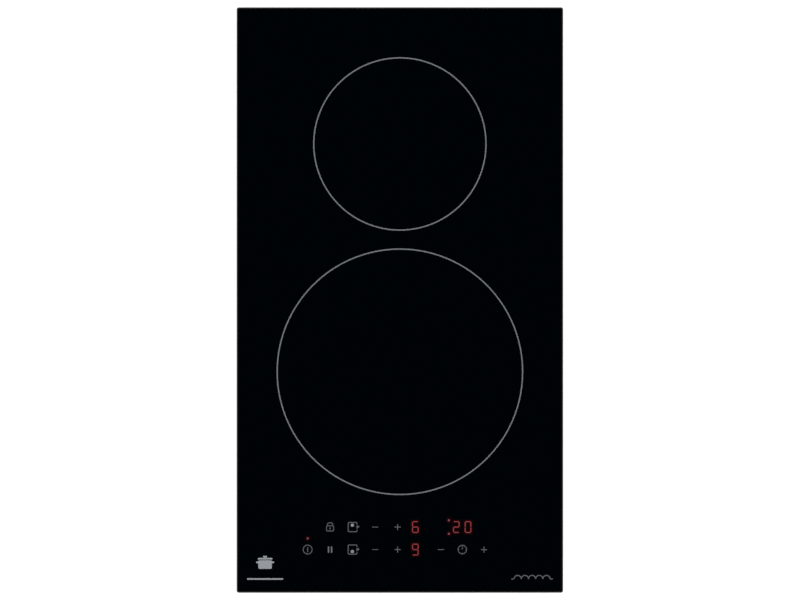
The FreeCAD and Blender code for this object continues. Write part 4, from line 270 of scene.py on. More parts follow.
def makeThread():
    # screw thread about the Z axis: a zigzag of height over pitch less the turn's angle
    group, given, result = startGroup("screwThread", "Height", Pitch=0.8)
    x, y, z = axes(group, given["Coordinates"])
    angle = maths(group, "DIVIDE", maths(group, "ARCTAN2", y, x), 2 * math.pi)
    turns = maths(group, "DIVIDE", maths(group, "DIVIDE", z, millimetre), given["Pitch"])
    phase = maths(group, "FRACT", maths(group, "SUBTRACT", turns, angle))
    ridge = zigzag(group, phase)
    group.links.new(times(group, ridge, 2.0), result["Height"])
    return group


def makeGlow():
    # soft light that bleeds round a lit mark: full inside a box, fading over the softness
    sizes = {"Centre": (0, 0, 0), "Half_Size": (0, 0, 0), "Softness": 2.0}
    group, given, result = startGroup("glassGlow", "Mask", **sizes)
    offset = vectorMaths(group, "SUBTRACT", given["Coordinates"], given["Centre"])
    past = vectorMaths(group, "SUBTRACT", vectorMaths(group, "ABSOLUTE", offset), given["Half Size"])
    x, y, _ = axes(group, past)
    softness = times(group, given["Softness"], millimetre)
    fades = [remap(group, side, softness, 0.0) for side in (x, y)]
    group.links.new(times(group, *fades), result["Mask"])
    return group


grain, flecks, edgeWearAndHighlight, dust, thread, glow = (
    makeGrain(), makeFlecks(), makeEdgeWearAndHighlight(), makeDust(), makeThread(), makeGlow())
print("shared shader groups ready")


def useGroup(tree, group, place, **values):
    # a shared group placed in a material with its own values
    wires = {label.replace("_", " "): value for label, value in values.items()}
    return addNode(tree, "Group", {"Coordinates": place, **wires}, node_tree=group).outputs[0]


def grained(tree, place, size, stretch=(1.0, 1.0, 1.0)):
    return useGroup(tree, grain, place, Size=size, Stretch=stretch)


def boxMask(tree, place, centre, half, softness):
    return useGroup(tree, glow, place, Centre=tuple(centre), Half_Size=tuple(half), Softness=softness)


def centred(tree, place, middle):
    return addNode(tree, "Mapping", {"Vector": place, "Location": tuple(-middle)}).outputs[0]


# camera, floor and light

studio = {
    "lens": 200.0,
    "sensor": 36.0,
    "span": 0.7104,  # width of the view at the glass
    "aim": (0.000107, 0.00003),
    "floorHalf": 6.0,
    "floorGap": 0.0002,
    "floorTone": 0.30,
    "floorGlow": 0.90,
    "horizon": 1.05,
    "shine": 0.45,  # how much of the sky the reflections pick up
    "darkFrom": 0.15,  # height on the sky's dome where it starts to darken
    "darkTo": 0.64,
}

softboxes = {
    # place, width, height, power
    "leftBox": ((-2.6, -0.9, 2.0), 1.6, 1.2, 62.0),
    "rightBox": ((2.7, 0.6, 1.7), 1.4, 1.4, 46.0),
    "rearBox": ((0.3, 3.0, 1.9), 2.4, 0.8, 40.0),
}


def placeCamera():
    data = bpy.data.cameras.new("studioCamera")
    data.lens = studio["lens"]
    data.sensor_width = studio["sensor"]
    data.clip_end = 60.0
    camera = bpy.data.objects.new("studioCamera", data)
    height = studio["lens"] / studio["sensor"] * studio["span"]
    camera.location = (*studio["aim"], cadBounds[1][2] + height)
    bpy.context.scene.collection.objects.link(camera)
    bpy.context.scene.camera = camera


def lightSky():
    # pale all round, dark overhead so that the glass stays black from above; the backdrop itself stays pale
    world = bpy.data.worlds.new("studioSky")
    world.use_nodes = True
    tree = world.node_tree
    height = axes(tree, addNode(tree, "TexCoord").outputs["Generated"])[2]
    level = remap(tree, height, studio["darkFrom"], studio["darkTo"], studio["horizon"], 0.0006)
    ray = addNode(tree, "LightPath").outputs
    shine = blendValue(tree, ray["Is Glossy Ray"], 1.0, studio["shine"])
    level = blendValue(tree, ray["Is Camera Ray"], times(tree, level, shine), studio["horizon"])
    background = tree.nodes["Background"]
    background.inputs["Color"].default_value = (0.97, 0.985, 1.0, 1.0)
    tree.links.new(level, background.inputs["Strength"])
    bpy.context.scene.world = world


def hangSoftboxes():
    for name, (place, width, height, power) in softboxes.items():
        data = bpy.data.lights.new(name, "AREA")
        data.shape = "RECTANGLE"
        data.size = width
        data.size_y = height
        data.energy = power
        box = bpy.data.objects.new(name, data)
        box.location = place
        box.rotation_euler = (-Vector(place)).to_track_quat("-Z", "Y").to_euler()
        bpy.context.scene.collection.objects.link(box)


def layFloor():
    half = studio["floorHalf"]
    level = cadBounds[0][2] - studio["floorGap"]
    mesh = bpy.data.meshes.new("floor")
    corners = [(-half, -half, level), (half, -half, level), (half, half, level), (-half, half, level)]
    mesh.from_pydata(corners, [], [(0, 1, 2, 3)])
    floor = bpy.data.objects.new("floor", mesh)
    bpy.context.scene.collection.objects.link(floor)
    material, tree, place = startMaterial("paleFloor", {
        "Roughness": 0.8, "Specular IOR Level": 0.2,
        "Emission Color": (1.0, 1.0, 1.0), "Emission Strength": studio["floorGlow"],
    })
    tone = studio["floorTone"]
    cloud = vary(tree, noise(tree, place, 1.4), tone * 0.98, tone * 1.02)
    wire(tree, greyOf(tree, cloud), "Base Color")
    # open from below, so that the underside can be looked at through it
    behind = addNode(tree, "NewGeometry").outputs["Backfacing"]
    pale = tree.nodes["Principled BSDF"].outputs[0]
    clear = addNode(tree, "BsdfTransparent").outputs[0]
    either = addNode(tree, "MixShader", {0: behind, 1: pale, 2: clear}).outputs[0]
    tree.links.new(either, tree.nodes["Material Output"].inputs["Surface"])
    mesh.materials.append(material)


placeCamera()
lightSky()
hangSoftboxes()
layFloor()
bpy.context.scene.view_settings.view_transform = "Standard"
print("studio ready")


# where the CAD puts things

def pointsOf(name):
    mesh = nodes[name].data
    points = np.empty(len(mesh.vertices) * 3, np.float32)
    mesh.vertices.foreach_get("co", points)
    return points.reshape(-1, 3)


def middleOf(name):
    low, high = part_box(name)
    return (low + high) / 2


def spread(values, gap):
    # runs of values with no gap wider than the given one, as (low, high) pairs
    ordered = np.unique(values)
    breaks = np.flatnonzero(np.diff(ordered) > gap)
    return list(zip(np.append(ordered[0], ordered[breaks + 1]), np.append(ordered[breaks], ordered[-1])))


def between(points, axis, low, high):
    return points[(points[:, axis] >= low) & (points[:, axis] <= high)]


def clumps(name, gap=0.0009):
    # the separate marks or parts of a node, row by row and then across, as (middle, half size)
    points = pointsOf(name)
    found = []
    for low, high in spread(points[:, 1], gap):
        row = between(points, 1, low, high)
        for left, right in spread(row[:, 0], gap):
            inside = between(row, 0, left, right)
            found.append(((inside.min(0) + inside.max(0)) / 2, (inside.max(0) - inside.min(0)) / 2))
    return found


# the glass, its print and its lights

glassLook = {
    "facet": 2.3,  # ground edge band
    "polish": (0.035, 0.06),
    "frost": (0.16, 0.3),
    "tint": (0.00015, 0.0012, 0.0021),
    "facetTint": (0.0006, 0.0008, 0.0011),
    "glow": (0.012, 0.0003, 0.0004),
    "glowReach": 2.4,
}


def blackGlass():
    # smooth black plate with a finely ground band at its rim, and a little red light round the digits
    material, tree, place = startMaterial("blackGlass", {
        "IOR": 1.52, "Coat Weight": 0.0, "Emission Strength": 1.0,
    })
    _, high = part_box("glass_plate")
    x, y, _ = axes(tree, place)
    fromSide = maths(tree, "SUBTRACT", high[0], maths(tree, "ABSOLUTE", x))
    fromEnd = maths(tree, "SUBTRACT", high[1], maths(tree, "ABSOLUTE", y))
    inset = maths(tree, "MINIMUM", fromSide, fromEnd)
    facet = remap(tree, inset, (glassLook["facet"] + 0.25) * millimetre, glassLook["facet"] * millimetre)
    body = blendColour(tree, facet, glassLook["tint"], glassLook["facetTint"])
    ground = grained(tree, place, 0.35)
    wipe = grained(tree, place, 60.0, (1.0, 0.35, 1.0))  # left by a cloth
    polished = remap(tree, wipe, 0.35, 0.7, *glassLook["polish"])
    frosted = vary(tree, ground, *glassLook["frost"])
    rough = plus(tree, times(tree, frosted, facet), times(tree, polished, opposite(tree, facet)))
    lightSum = 0.0
    for centre, half in clumps("lit_digits"):
        mask = boxMask(tree, place, centre, half, glassLook["glowReach"])
        lightSum = maths(tree, "ADD", lightSum, mask, clamp=True)
    wire(tree, blendColour(tree, lightSum, (0, 0, 0), glassLook["glow"]), "Emission Color")
    return finished(material, body, rough, (times(tree, ground, facet), 0.02, 0.4))


inkLook = {
    "rings": 0.214,
    "pan": 0.38,  # left of the keys
    "coils": 0.150,  # right of them
    "upperKeys": (0.123, 0.125, 0.140, 0.156),  # padlock, rear zone, less, more
    "lowerKeys": (0.118, 0.188, 0.125, 0.125, 0.158, 0.148, 0.120, 0.154),  # power to the timer's more
    "zoneDots": 0.34,
    "keyRows": (0.034, 0.048, 0.062),  # below, between and above the two rows, from the front edge
    "ringsFrom": (0.072, 0.076),
    "emblemSplit": (-0.100, -0.098),  # the pan lies left of this, the row of coils right of it
    "soften": 0.6,
    "dotAside": -0.0010,
    "dotHalf": 0.0009,
    "dotRise": (0.0017, -0.0017),  # dot from the middle of the rear and the front zone key
}


def printInk():
    # ceramic ink over a fine screen: each key has its own weight of ink
    material, tree, place = startMaterial("printInk", {"Roughness": 0.12, "Specular IOR Level": 0.5})
    front = cadBounds[0][1]
    below, parting, above = [front + rise for rise in inkLook["keyRows"]]
    ringsLow, ringsHigh = [front + rise for rise in inkLook["ringsFrom"]]
    x, y, _ = axes(tree, place)
    emblems = remap(tree, x, *inkLook["emblemSplit"], inkLook["pan"], inkLook["coils"])
    tone = blendValue(tree, remap(tree, y, ringsLow, ringsHigh), emblems, inkLook["rings"])
    keys = [mark for mark in clumps("glass_print", gap=0.0055) if below < mark[0][1] < above]
    lower = [mark for mark in keys if mark[0][1] < parting]
    upper = [mark for mark in keys if mark[0][1] > parting]
    spots = list(zip(upper, inkLook["upperKeys"])) + list(zip(lower, inkLook["lowerKeys"]))
    for (centre, half), rise in zip((upper[1], lower[2]), inkLook["dotRise"]):
        dot = centre + np.array([inkLook["dotAside"], rise, 0])
        spots.append(((dot, np.full(3, inkLook["dotHalf"])), inkLook["zoneDots"]))
    for (centre, half), weight in spots:
        tone = blendValue(tree, boxMask(tree, place, centre, half, inkLook["soften"]), tone, weight)
    screen = useGroup(tree, flecks, place, Size=0.22, Share=0.5)
    patchy = grained(tree, place, 6.0)
    thin = remap(tree, patchy, 0.45, 0.8, 1.0, 0.92)
    loss = times(tree, remap(tree, screen, 0.0, 1.0, 1.0, 0.9), thin)
    grey = times(tree, tone, loss)
    tinted = greyOf(tree, grey, times(tree, grey, 1.06), times(tree, grey, 1.13))
    return finished(material, tinted, relief=(screen, 0.004, 0.4))


lightLook = {
    "digit": (0.305, 0.046, 0.045),
    "digitEdge": (0.26, 0.030, 0.030),
    "lamp": (0.24, 0.065, 0.092),
    "lampLimit": 0.002,  # a mark lower than this is a lamp
}


def displayLight():
    # light from behind the glass: dull red strokes, and small lamps with a paler heart
    material, tree, place = startMaterial("displayLight", {
        "Base Color": (0.004, 0.0, 0.0), "Roughness": 0.06, "Specular IOR Level": 0.5,
        "Emission Strength": 1.0,
    })
    uneven = grained(tree, place, 1.6)
    colour = blendColour(tree, vary(tree, uneven), lightLook["digitEdge"], lightLook["digit"])
    for centre, half in clumps("lit_digits"):
        if half[1] < lightLook["lampLimit"]:
            lamp = boxMask(tree, place, centre, half, 0.4)
            colour = blendColour(tree, lamp, colour, lightLook["lamp"])
    wire(tree, colour, "Emission Color")
    return material


# metals

metalLooks = {
    # grain is its size and depth, stretch draws it out, and the edge colour is scuffed metal along the edges
    # together with a painted highlight on them
    "zinc_screw": {
        "colours": ((0.6, 0.6, 0.57), (0.42, 0.43, 0.42)), "rough": (0.24, 0.42),
        "grain": (0.35, 0.01), "bareAndHighlitEdge": (0.75, 0.75, 0.72),
    },
    "support_aluminium": {
        "colours": ((0.72, 0.73, 0.75), (0.62, 0.63, 0.65)), "rough": (0.3, 0.46),
        "grain": (0.35, 0.02), "stretch": (1, 0.03, 1), "bareAndHighlitEdge": (0.85, 0.85, 0.86),
    },
    "spring_steel": {
        "colours": ((0.38, 0.37, 0.36), (0.26, 0.25, 0.25)), "rough": (0.26, 0.42),
        "grain": (0.2, 0.006), "stretch": (1, 1, 0.4), "bareAndHighlitEdge": 0.6,
    },
    "bush_bronze": {
        "colours": ((0.44, 0.25, 0.12), (0.3, 0.17, 0.09)), "rough": (0.38, 0.55),
        "grain": (0.25, 0.02), "bareAndHighlitEdge": (0.6, 0.38, 0.2),
    },
    "shaft_steel": {
        "colours": ((0.58, 0.58, 0.59), (0.48, 0.48, 0.5)), "rough": (0.12, 0.22),
        "grain": (0.3, 0.003), "stretch": (0.05, 0.05, 1), "bareAndHighlitEdge": 0.7,
    },
    "magnet": {
        "colours": ((0.1, 0.1, 0.105), (0.06, 0.06, 0.065)), "rough": (0.42, 0.6),
        "grain": (0.3, 0.02), "bareAndHighlitEdge": 0.25,
    },
    "sink_aluminium": {
        "colours": ((0.7, 0.71, 0.73), (0.56, 0.57, 0.6)), "rough": (0.28, 0.44),
        "grain": (0.3, 0.02), "stretch": (1, 0.02, 1), "bareAndHighlitEdge": (0.86, 0.86, 0.87),
    },
    "clamp_steel": {
        "colours": ((0.52, 0.52, 0.5), 0.38), "rough": (0.26, 0.44),
        "grain": (0.4, 0.012), "stretch": (0.06, 1, 1), "bareAndHighlitEdge": (0.72, 0.72, 0.7),
    },
}


threadLook = {
    "pitch": 0.8,
    "shank": (0.0027, 0.00255),  # outside this radius a screw has no thread
    "height": 30.0,  # of a ridge, against the metal's own grain
}


def plainMetal(name, centre=None):
    # drawn, rolled or plated metal; a screw also has a thread about its centre
    look = metalLooks[name]
    size, depth = look["grain"]
    material, tree, place = startMaterial(name + "Finish", {"Metallic": 1.0})
    lines = grained(tree, place, size, look.get("stretch", (1, 1, 1)))
    blotches = grained(tree, place, size * 30)
    wornAndHighlitEdge = useGroup(tree, edgeWearAndHighlight, place, Radius=0.35, Breakup=3.0)
    tone = blendColour(tree, vary(tree, blotches), *look["colours"])
    # lighter along the edges: scuffed metal with a painted highlight laid over it
    tone = blendColour(tree, times(tree, wornAndHighlitEdge, 0.7), tone, look["bareAndHighlitEdge"])
    rough = remap(tree, lines, 0.25, 0.75, *look["rough"])
    relief = lines
    if centre is not None:
        local = centred(tree, place, centre)
        ridges = useGroup(tree, thread, local, Pitch=threadLook["pitch"])
        x, y, _ = axes(tree, local)
        reach = fromAxis(tree, x, y)
        shank = remap(tree, reach, *threadLook["shank"])
        relief = plus(tree, times(tree, ridges, times(tree, shank, threadLook["height"])), lines)
    return finished(material, tone, rough, (relief, depth, 0.6))


galvanisedLook = {
    "spangle": 5.0,
    "bright": (0.50, 0.515, 0.53),
    "dull": (0.42, 0.435, 0.45),
    "oxide": (0.34, 0.35, 0.36),
    # edge colour: scuffed zinc with a painted highlight
    "rubbedAndHighlit": (0.72, 0.73, 0.74),
    "rough": (0.26, 0.40),
    "wander": 0.004,  # how far the crystals' borders stray
}


def galvanisedSheet():
    # zinc crystals of many sizes, each with its own tone and gloss, rolled grain under them
    material, tree, place = startMaterial("galvanisedSheet", {"Metallic": 1.0})
    warp = noise(tree, place, 160.0)
    wander = galvanisedLook["wander"]
    shift = addNode(tree, "CombineXYZ", {0: times(tree, warp, wander), 1: times(tree, warp, -0.75 * wander)})
    bent = vectorMaths(tree, "ADD", place, shift.outputs[0])
    cells = addNode(tree, "TexVoronoi", {"Vector": bent, "Scale": 1000.0 / galvanisedLook["spangle"]})
    crystal = axes(tree, cells.outputs["Color"])
    rolled = grained(tree, place, 0.4, (1.0, 0.04, 1.0))
    stain = grained(tree, place, 45.0)
    wornAndHighlitEdge = useGroup(tree, edgeWearAndHighlight, place, Radius=0.5, Breakup=5.0)
    tone = blendColour(tree, crystal[0], galvanisedLook["bright"], galvanisedLook["dull"])
    tone = blendColour(tree, remap(tree, stain, 0.5, 0.75, 0.0, 0.35), tone, galvanisedLook["oxide"])
    # lighter along edges and bends: scuffed zinc together with a painted highlight
    tone = blendColour(tree, times(tree, wornAndHighlitEdge, 0.6), tone, galvanisedLook["rubbedAndHighlit"])
    gloss = plus(tree, remap(tree, crystal[1], 0.0, 1.0, *galvanisedLook["rough"]),
                 vary(tree, rolled, 0.0, 0.12))
    relief = plus(tree, times(tree, cells.outputs["Distance"], 0.2), rolled)
    return finished(material, tone, gloss, (relief, 0.012, 0.35))


statorLook = {
    "sheets": 2000.0,  # laminations to the metre
    "turns": 3500.0,
    "winding": ((0.0060, 0.0064), (0.0104, 0.0100)),  # radii where the wire starts and ends
    "steel": ((0.20, 0.20, 0.21), (0.46, 0.46, 0.48)),
    "copper": ((0.25, 0.08, 0.03), (0.62, 0.27, 0.11)),
}


def statorSteel():
    # thin laminations stacked along the motor's axis, with enamelled wire on the poles
    material, tree, place = startMaterial("statorSteel", {"Metallic": 1.0, "Roughness": 0.42})
    x, y, z = axes(tree, centred(tree, place, middleOf("fan_stator")))
    sheets = zigzag(tree, times(tree, z, statorLook["sheets"]))
    reach = fromAxis(tree, x, y)
    wound = times(tree, *[remap(tree, reach, *limits) for limits in statorLook["winding"]])
    turnsOf = zigzag(tree, times(tree, reach, statorLook["turns"]))
    steel = blendColour(tree, remap(tree, sheets, 0.0, 0.5), *statorLook["steel"])
    # each turn of wire painted darker towards its sides: painted shade between the turns
    copper = blendColour(tree, remap(tree, turnsOf, 0.0, 0.5), *statorLook["copper"])
    relief = plus(tree, times(tree, turnsOf, wound), sheets)
    return finished(material, blendColour(tree, wound, steel, copper), relief=(relief, 0.12, 0.6))


# plastics, rubbers and other moulded or pressed finishes

plasticLooks = {
    # grain is its size and depth, flecks their size and share
    "frame_paint": {
        "colours": ((0.012, 0.012, 0.013), (0.018, 0.018, 0.019)), "rough": (0.34, 0.5),
        "grain": (0.55, 0.05), "fleck": 0.03, "flecks": (0.5, 0.2),
    },
    "silicone": {
        "colours": ((0.035, 0.035, 0.037), 0.05), "rough": (0.3, 0.42),
        "grain": (1.6, 0.08), "fleck": 0.08, "flecks": (1.0, 0.1),
    },
    "carrier_plastic": {
        "colours": ((0.03, 0.031, 0.034), (0.045, 0.046, 0.05)), "rough": (0.42, 0.6),
        "grain": (0.3, 0.03), "fleck": 0.11, "flecks": (0.5, 0.25), "dust": 0.25,
    },
    "sensor_rubber": {
        "colours": ((0.42, 0.4, 0.37), (0.34, 0.32, 0.3)), "rough": (0.5, 0.65),
        "grain": (0.5, 0.04), "fleck": (0.55, 0.52, 0.5), "flecks": (0.8, 0.1),
    },
    "holder_plastic": {
        "colours": ((0.58, 0.585, 0.57), (0.5, 0.505, 0.49)), "rough": (0.36, 0.52),
        "grain": (0.4, 0.02), "fleck": (0.4, 0.4, 0.39), "flecks": (0.8, 0.12), "dust": 0.3,
    },
    "blower_plastic": {
        "colours": ((0.02, 0.02, 0.022), (0.032, 0.032, 0.034)), "rough": (0.36, 0.54),
        "grain": (0.35, 0.03), "fleck": 0.07, "flecks": (0.5, 0.22), "dust": 0.35,
    },
    "impeller_plastic": {
        "colours": ((0.045, 0.047, 0.052), (0.06, 0.062, 0.068)), "rough": (0.3, 0.46),
        "grain": (0.3, 0.02), "fleck": (0.1, 0.1, 0.11), "flecks": (0.5, 0.2), "dust": 0.4,
    },
    "relay_case": {
        "colours": ((0.02, 0.055, 0.16), (0.026, 0.068, 0.19)), "rough": (0.26, 0.38),
        "grain": (0.5, 0.02), "fleck": (0.05, 0.11, 0.26), "flecks": (0.6, 0.1), "dust": 0.2,
    },
    "socket_plastic": {
        "colours": ((0.68, 0.66, 0.58), (0.6, 0.58, 0.51)), "rough": (0.34, 0.5),
        "grain": (0.4, 0.02), "fleck": (0.5, 0.48, 0.42), "flecks": (0.7, 0.12), "dust": 0.25,
    },
    "terminal_plastic": {
        "colours": ((0.47, 0.48, 0.48), (0.4, 0.41, 0.41)), "rough": (0.4, 0.56),
        "grain": (0.35, 0.03), "fleck": 0.6, "flecks": (0.5, 0.2),
    },
    "block_plastic": {
        "colours": ((0.62, 0.6, 0.55), (0.55, 0.53, 0.48)), "rough": (0.32, 0.46),
        "grain": (0.4, 0.02), "fleck": (0.48, 0.46, 0.42), "flecks": (0.7, 0.14),
    },
    "gland_rubber": {
        "colours": ((0.016, 0.016, 0.017), (0.026, 0.026, 0.027)), "rough": (0.5, 0.68),
        "grain": (0.4, 0.04), "fleck": 0.06, "flecks": (0.7, 0.15),
    },
    "cover_plastic": {
        "colours": ((0.075, 0.078, 0.082), (0.1, 0.103, 0.107)), "rough": (0.38, 0.56),
        "grain": (0.3, 0.04), "fleck": 0.15, "flecks": (0.5, 0.2),
    },
    "ferrite": {
        "colours": ((0.04, 0.04, 0.044), (0.06, 0.06, 0.064)), "rough": (0.5, 0.7),
        "grain": (0.5, 0.06), "fleck": (0.12, 0.12, 0.13), "flecks": (0.4, 0.4), "dust": 0.2,
    },
}


def moulded(name):
    # a spark-eroded mould's grain, flow marks, glass-fibre flecks, and edges scuffed to the fleck colour,
    # which where that colour is the lighter one is also a painted highlight
    look = plasticLooks[name]
    (size, depth), (fleckSize, share), fleck = look["grain"], look["flecks"], look["fleck"]
    material, tree, place = startMaterial(name + "Finish", {"IOR": 1.49})
    fine = grained(tree, place, size)
    flow = grained(tree, place, 24.0, (1.0, 0.5, 1.0))
    dots = useGroup(tree, flecks, place, Size=fleckSize, Share=share)
    wornAndHighlitEdge = useGroup(tree, edgeWearAndHighlight, place, Radius=0.3, Breakup=2.5)
    tone = blendColour(tree, remap(tree, flow, 0.35, 0.65), *look["colours"])
    tone = blendColour(tree, times(tree, dots, 0.35), tone, fleck)
    # edges take the fleck colour: scuffing, and a painted highlight where the fleck colour is lighter
    tone = blendColour(tree, times(tree, wornAndHighlitEdge, 0.5), tone, fleck)
    if "dust" in look:
        grey = useGroup(tree, dust, place, Amount=look["dust"])
        tone = blendColour(tree, grey, tone, (0.36, 0.35, 0.33))
    return finished(material, tone, vary(tree, fine, *look["rough"]), (fine, depth, 0.6))


def sealFoam():
    # closed-cell foam: skin broken by small pores, slightly greyer where it is pressed
    material, tree, place = startMaterial("sealFoam", {"Roughness": 0.85, "Specular IOR Level": 0.2})
    cells = addNode(tree, "TexVoronoi", {"Vector": place, "Scale": 1400.0})
    pore = remap(tree, cells.outputs["Distance"], 0.15, 0.5)
    broad = grained(tree, place, 14.0)
    # pores darker than the skin: painted shade in the hollows
    tone = blendColour(tree, pore, (0.012, 0.012, 0.012), (0.05, 0.05, 0.052))
    tone = blendColour(tree, remap(tree, broad, 0.4, 0.7, 0.0, 0.5), tone, (0.07, 0.07, 0.07))
    return finished(material, tone, relief=(pore, 0.25, 0.9))


def micaSheet():
    # overlapping pressed flakes, some catching the light
    material, tree, place = startMaterial("micaSheet", {"Coat Weight": 0.3, "Coat Roughness": 0.25})
    flakes = addNode(tree, "TexVoronoi", {"Vector": place, "Scale": 420.0, "Randomness": 1.0})
    tint = axes(tree, flakes.outputs["Color"])
    tone = blendColour(tree, tint[0], (0.42, 0.34, 0.22), (0.62, 0.55, 0.42))
    tone = blendColour(tree, remap(tree, tint[1], 0.8, 1.0), tone, (0.8, 0.76, 0.66))
    rough = remap(tree, tint[2], 0.0, 1.0, 0.2, 0.55, smooth=False)
    return finished(material, tone, rough, (tint[2], 0.03, 0.5))


boardLook = {
    "blocks": 95.0,  # patches of one track direction, to the metre
    "tracks": 520.0,
    "trackEdge": (0.26, 0.30),
    "trackShare": 0.72,
    "pads": (3.4, 0.42),
    "mask": ((0.006, 0.060, 0.022), (0.012, 0.115, 0.040)),
    "tin": (0.62, 0.62, 0.6),
    "dust": (0.34, 0.33, 0.31),
}


def circuitBoard():
    # green mask over copper tracks on a half-millimetre grid, with tinned pads
    material, tree, place = startMaterial("circuitBoard", {"IOR": 1.5})
    x, y, _ = axes(tree, place)
    patches = {"Vector": place, "Scale": boardLook["blocks"]}
    block = addNode(tree, "TexVoronoi", patches, feature="F1", distance="CHEBYCHEV")
    route = axes(tree, block.outputs["Color"])
    alongX = zigzag(tree, times(tree, y, boardLook["tracks"]))
    alongY = zigzag(tree, times(tree, x, boardLook["tracks"]))
    which = maths(tree, "GREATER_THAN", route[0], 0.5)
    stripe = plus(tree, times(tree, alongX, which), times(tree, alongY, opposite(tree, which)))
    covered = maths(tree, "LESS_THAN", route[1], boardLook["trackShare"])
    track = times(tree, remap(tree, stripe, *boardLook["trackEdge"]), covered)
    padSize, padShare = boardLook["pads"]
    pad = useGroup(tree, flecks, place, Size=padSize, Share=padShare)
    tone = blendColour(tree, pad, blendColour(tree, track, *boardLook["mask"]), boardLook["tin"])
    grey = useGroup(tree, dust, place, Amount=0.3)
    tone = blendColour(tree, grey, tone, boardLook["dust"])
    raised = maths(tree, "MAXIMUM", track, pad)
    return finished(material, tone, remap(tree, pad, 0.0, 1.0, 0.32, 0.24), (raised, 0.05, 0.7), pad)


def displayCase():
    # grey mask round milky windows
    material, tree, place = startMaterial("displayCase", {"Roughness": 0.38})
    up = upward(tree)
    fine = grained(tree, place, 0.4)
    face = remap(tree, up, 0.8, 0.95)
    tone = blendColour(tree, face, (0.55, 0.55, 0.53), (0.06, 0.06, 0.065))
    tone = blendColour(tree, remap(tree, fine, 0.4, 0.8, 0.0, 0.2), tone, (0.2, 0.2, 0.2))
    return finished(material, tone, relief=(fine, 0.02, 0.5))


def packageEpoxy():
    # black moulding with a dull tab edge and tinned legs below it
    material, tree, place = startMaterial("packageEpoxy", {})
    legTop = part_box("power_transistors")[0][2] + 0.004
    legs = remap(tree, axes(tree, place)[2], legTop + 0.0002, legTop - 0.0002)
    fine = grained(tree, place, 0.25)
    tone = blendColour(tree, vary(tree, fine), (0.014, 0.014, 0.015), (0.030, 0.030, 0.031))
    tone = blendColour(tree, legs, tone, (0.68, 0.68, 0.66))
    return finished(material, tone, remap(tree, fine, 0.2, 0.8, 0.36, 0.52), (fine, 0.02, 0.6), legs)


def woundCopper():
    # enamelled wire laid side by side, with painted shade for the gaps between turns, laid on as a fine
    # noise
    material, tree, place = startMaterial("choke_coreFinish", {
        "Metallic": 1.0, "Coat Weight": 0.6, "Coat Roughness": 0.12,
    })
    turns = grained(tree, place, 0.9)
    # darker copper stands for painted shade in the gaps between turns
    tone = blendColour(tree, vary(tree, turns), (0.40, 0.13, 0.045), (0.66, 0.28, 0.11))
    return finished(material, tone, vary(tree, turns, 0.22, 0.36), (turns, 0.03, 0.5))


def filmCase():
    # yellow box with a resin face on its underside
    material, tree, place = startMaterial("filmCase", {"IOR": 1.5})
    fine = grained(tree, place, 0.5)
    broad = grained(tree, place, 20.0)
    grey = useGroup(tree, dust, place, Amount=0.3)
    tone = blendColour(tree, remap(tree, broad, 0.35, 0.65), (0.62, 0.36, 0.035), (0.70, 0.43, 0.05))
    rough = vary(tree, fine, 0.28, 0.42)
    return finished(material, blendColour(tree, grey, tone, (0.4, 0.38, 0.34)), rough, (fine, 0.02, 0.5))


def canSleeve():
    # shrunk sleeve on the sides, bare aluminium on top
    material, tree, place = startMaterial("canSleeve", {})
    up = upward(tree)
    top = remap(tree, up, 0.85, 0.97)
    fine = grained(tree, place, 0.4, (1, 1, 0.3))
    tone = blendColour(tree, vary(tree, fine), (0.012, 0.016, 0.03), (0.018, 0.024, 0.045))
    tone = blendColour(tree, top, tone, (0.72, 0.72, 0.73))
    return finished(material, tone, vary(tree, fine, 0.2, 0.34), (fine, 0.03, 0.4), top)


transformerLook = {
    "tapeHalf": (0.0062, 0.0060),  # where the tape gives way to the core, from the middle
    "wraps": 240.0,  # to the metre
}


def transformerCore():
    # dark core halves round a bobbin wrapped in yellow tape
    material, tree, place = startMaterial("transformerCore", {})
    _, y, z = axes(tree, centred(tree, place, middleOf("supply_transformer")))
    inner = remap(tree, maths(tree, "ABSOLUTE", y), *transformerLook["tapeHalf"])
    fine = grained(tree, place, 0.4)
    wraps = remap(tree, zigzag(tree, times(tree, z, transformerLook["wraps"])), 0.02, 0.06)
    tape = blendColour(tree, wraps, (0.38, 0.24, 0.02), (0.72, 0.50, 0.05))
    core = blendColour(tree, fine, (0.035, 0.035, 0.04), (0.07, 0.07, 0.075))
    rough = remap(tree, inner, 0.0, 1.0, 0.6, 0.25)
    return finished(material, blendColour(tree, inner, core, tape), rough, (fine, 0.03, 0.5))


wireLook = {
    "pitch": 0.008,  # between the mains wires
    "stripes": 160.0,  # to the metre
    "brown": (0.13, 0.05, 0.02),
    "blue": (0.02, 0.09, 0.42),
    "earth": ((0.03, 0.25, 0.04), (0.70, 0.60, 0.03)),
    "fan": ((0.45, 0.02, 0.015), (0.02, 0.02, 0.02)),
    "fanSplit": 0.0013,  # from the fan's axis to between its two wires
}


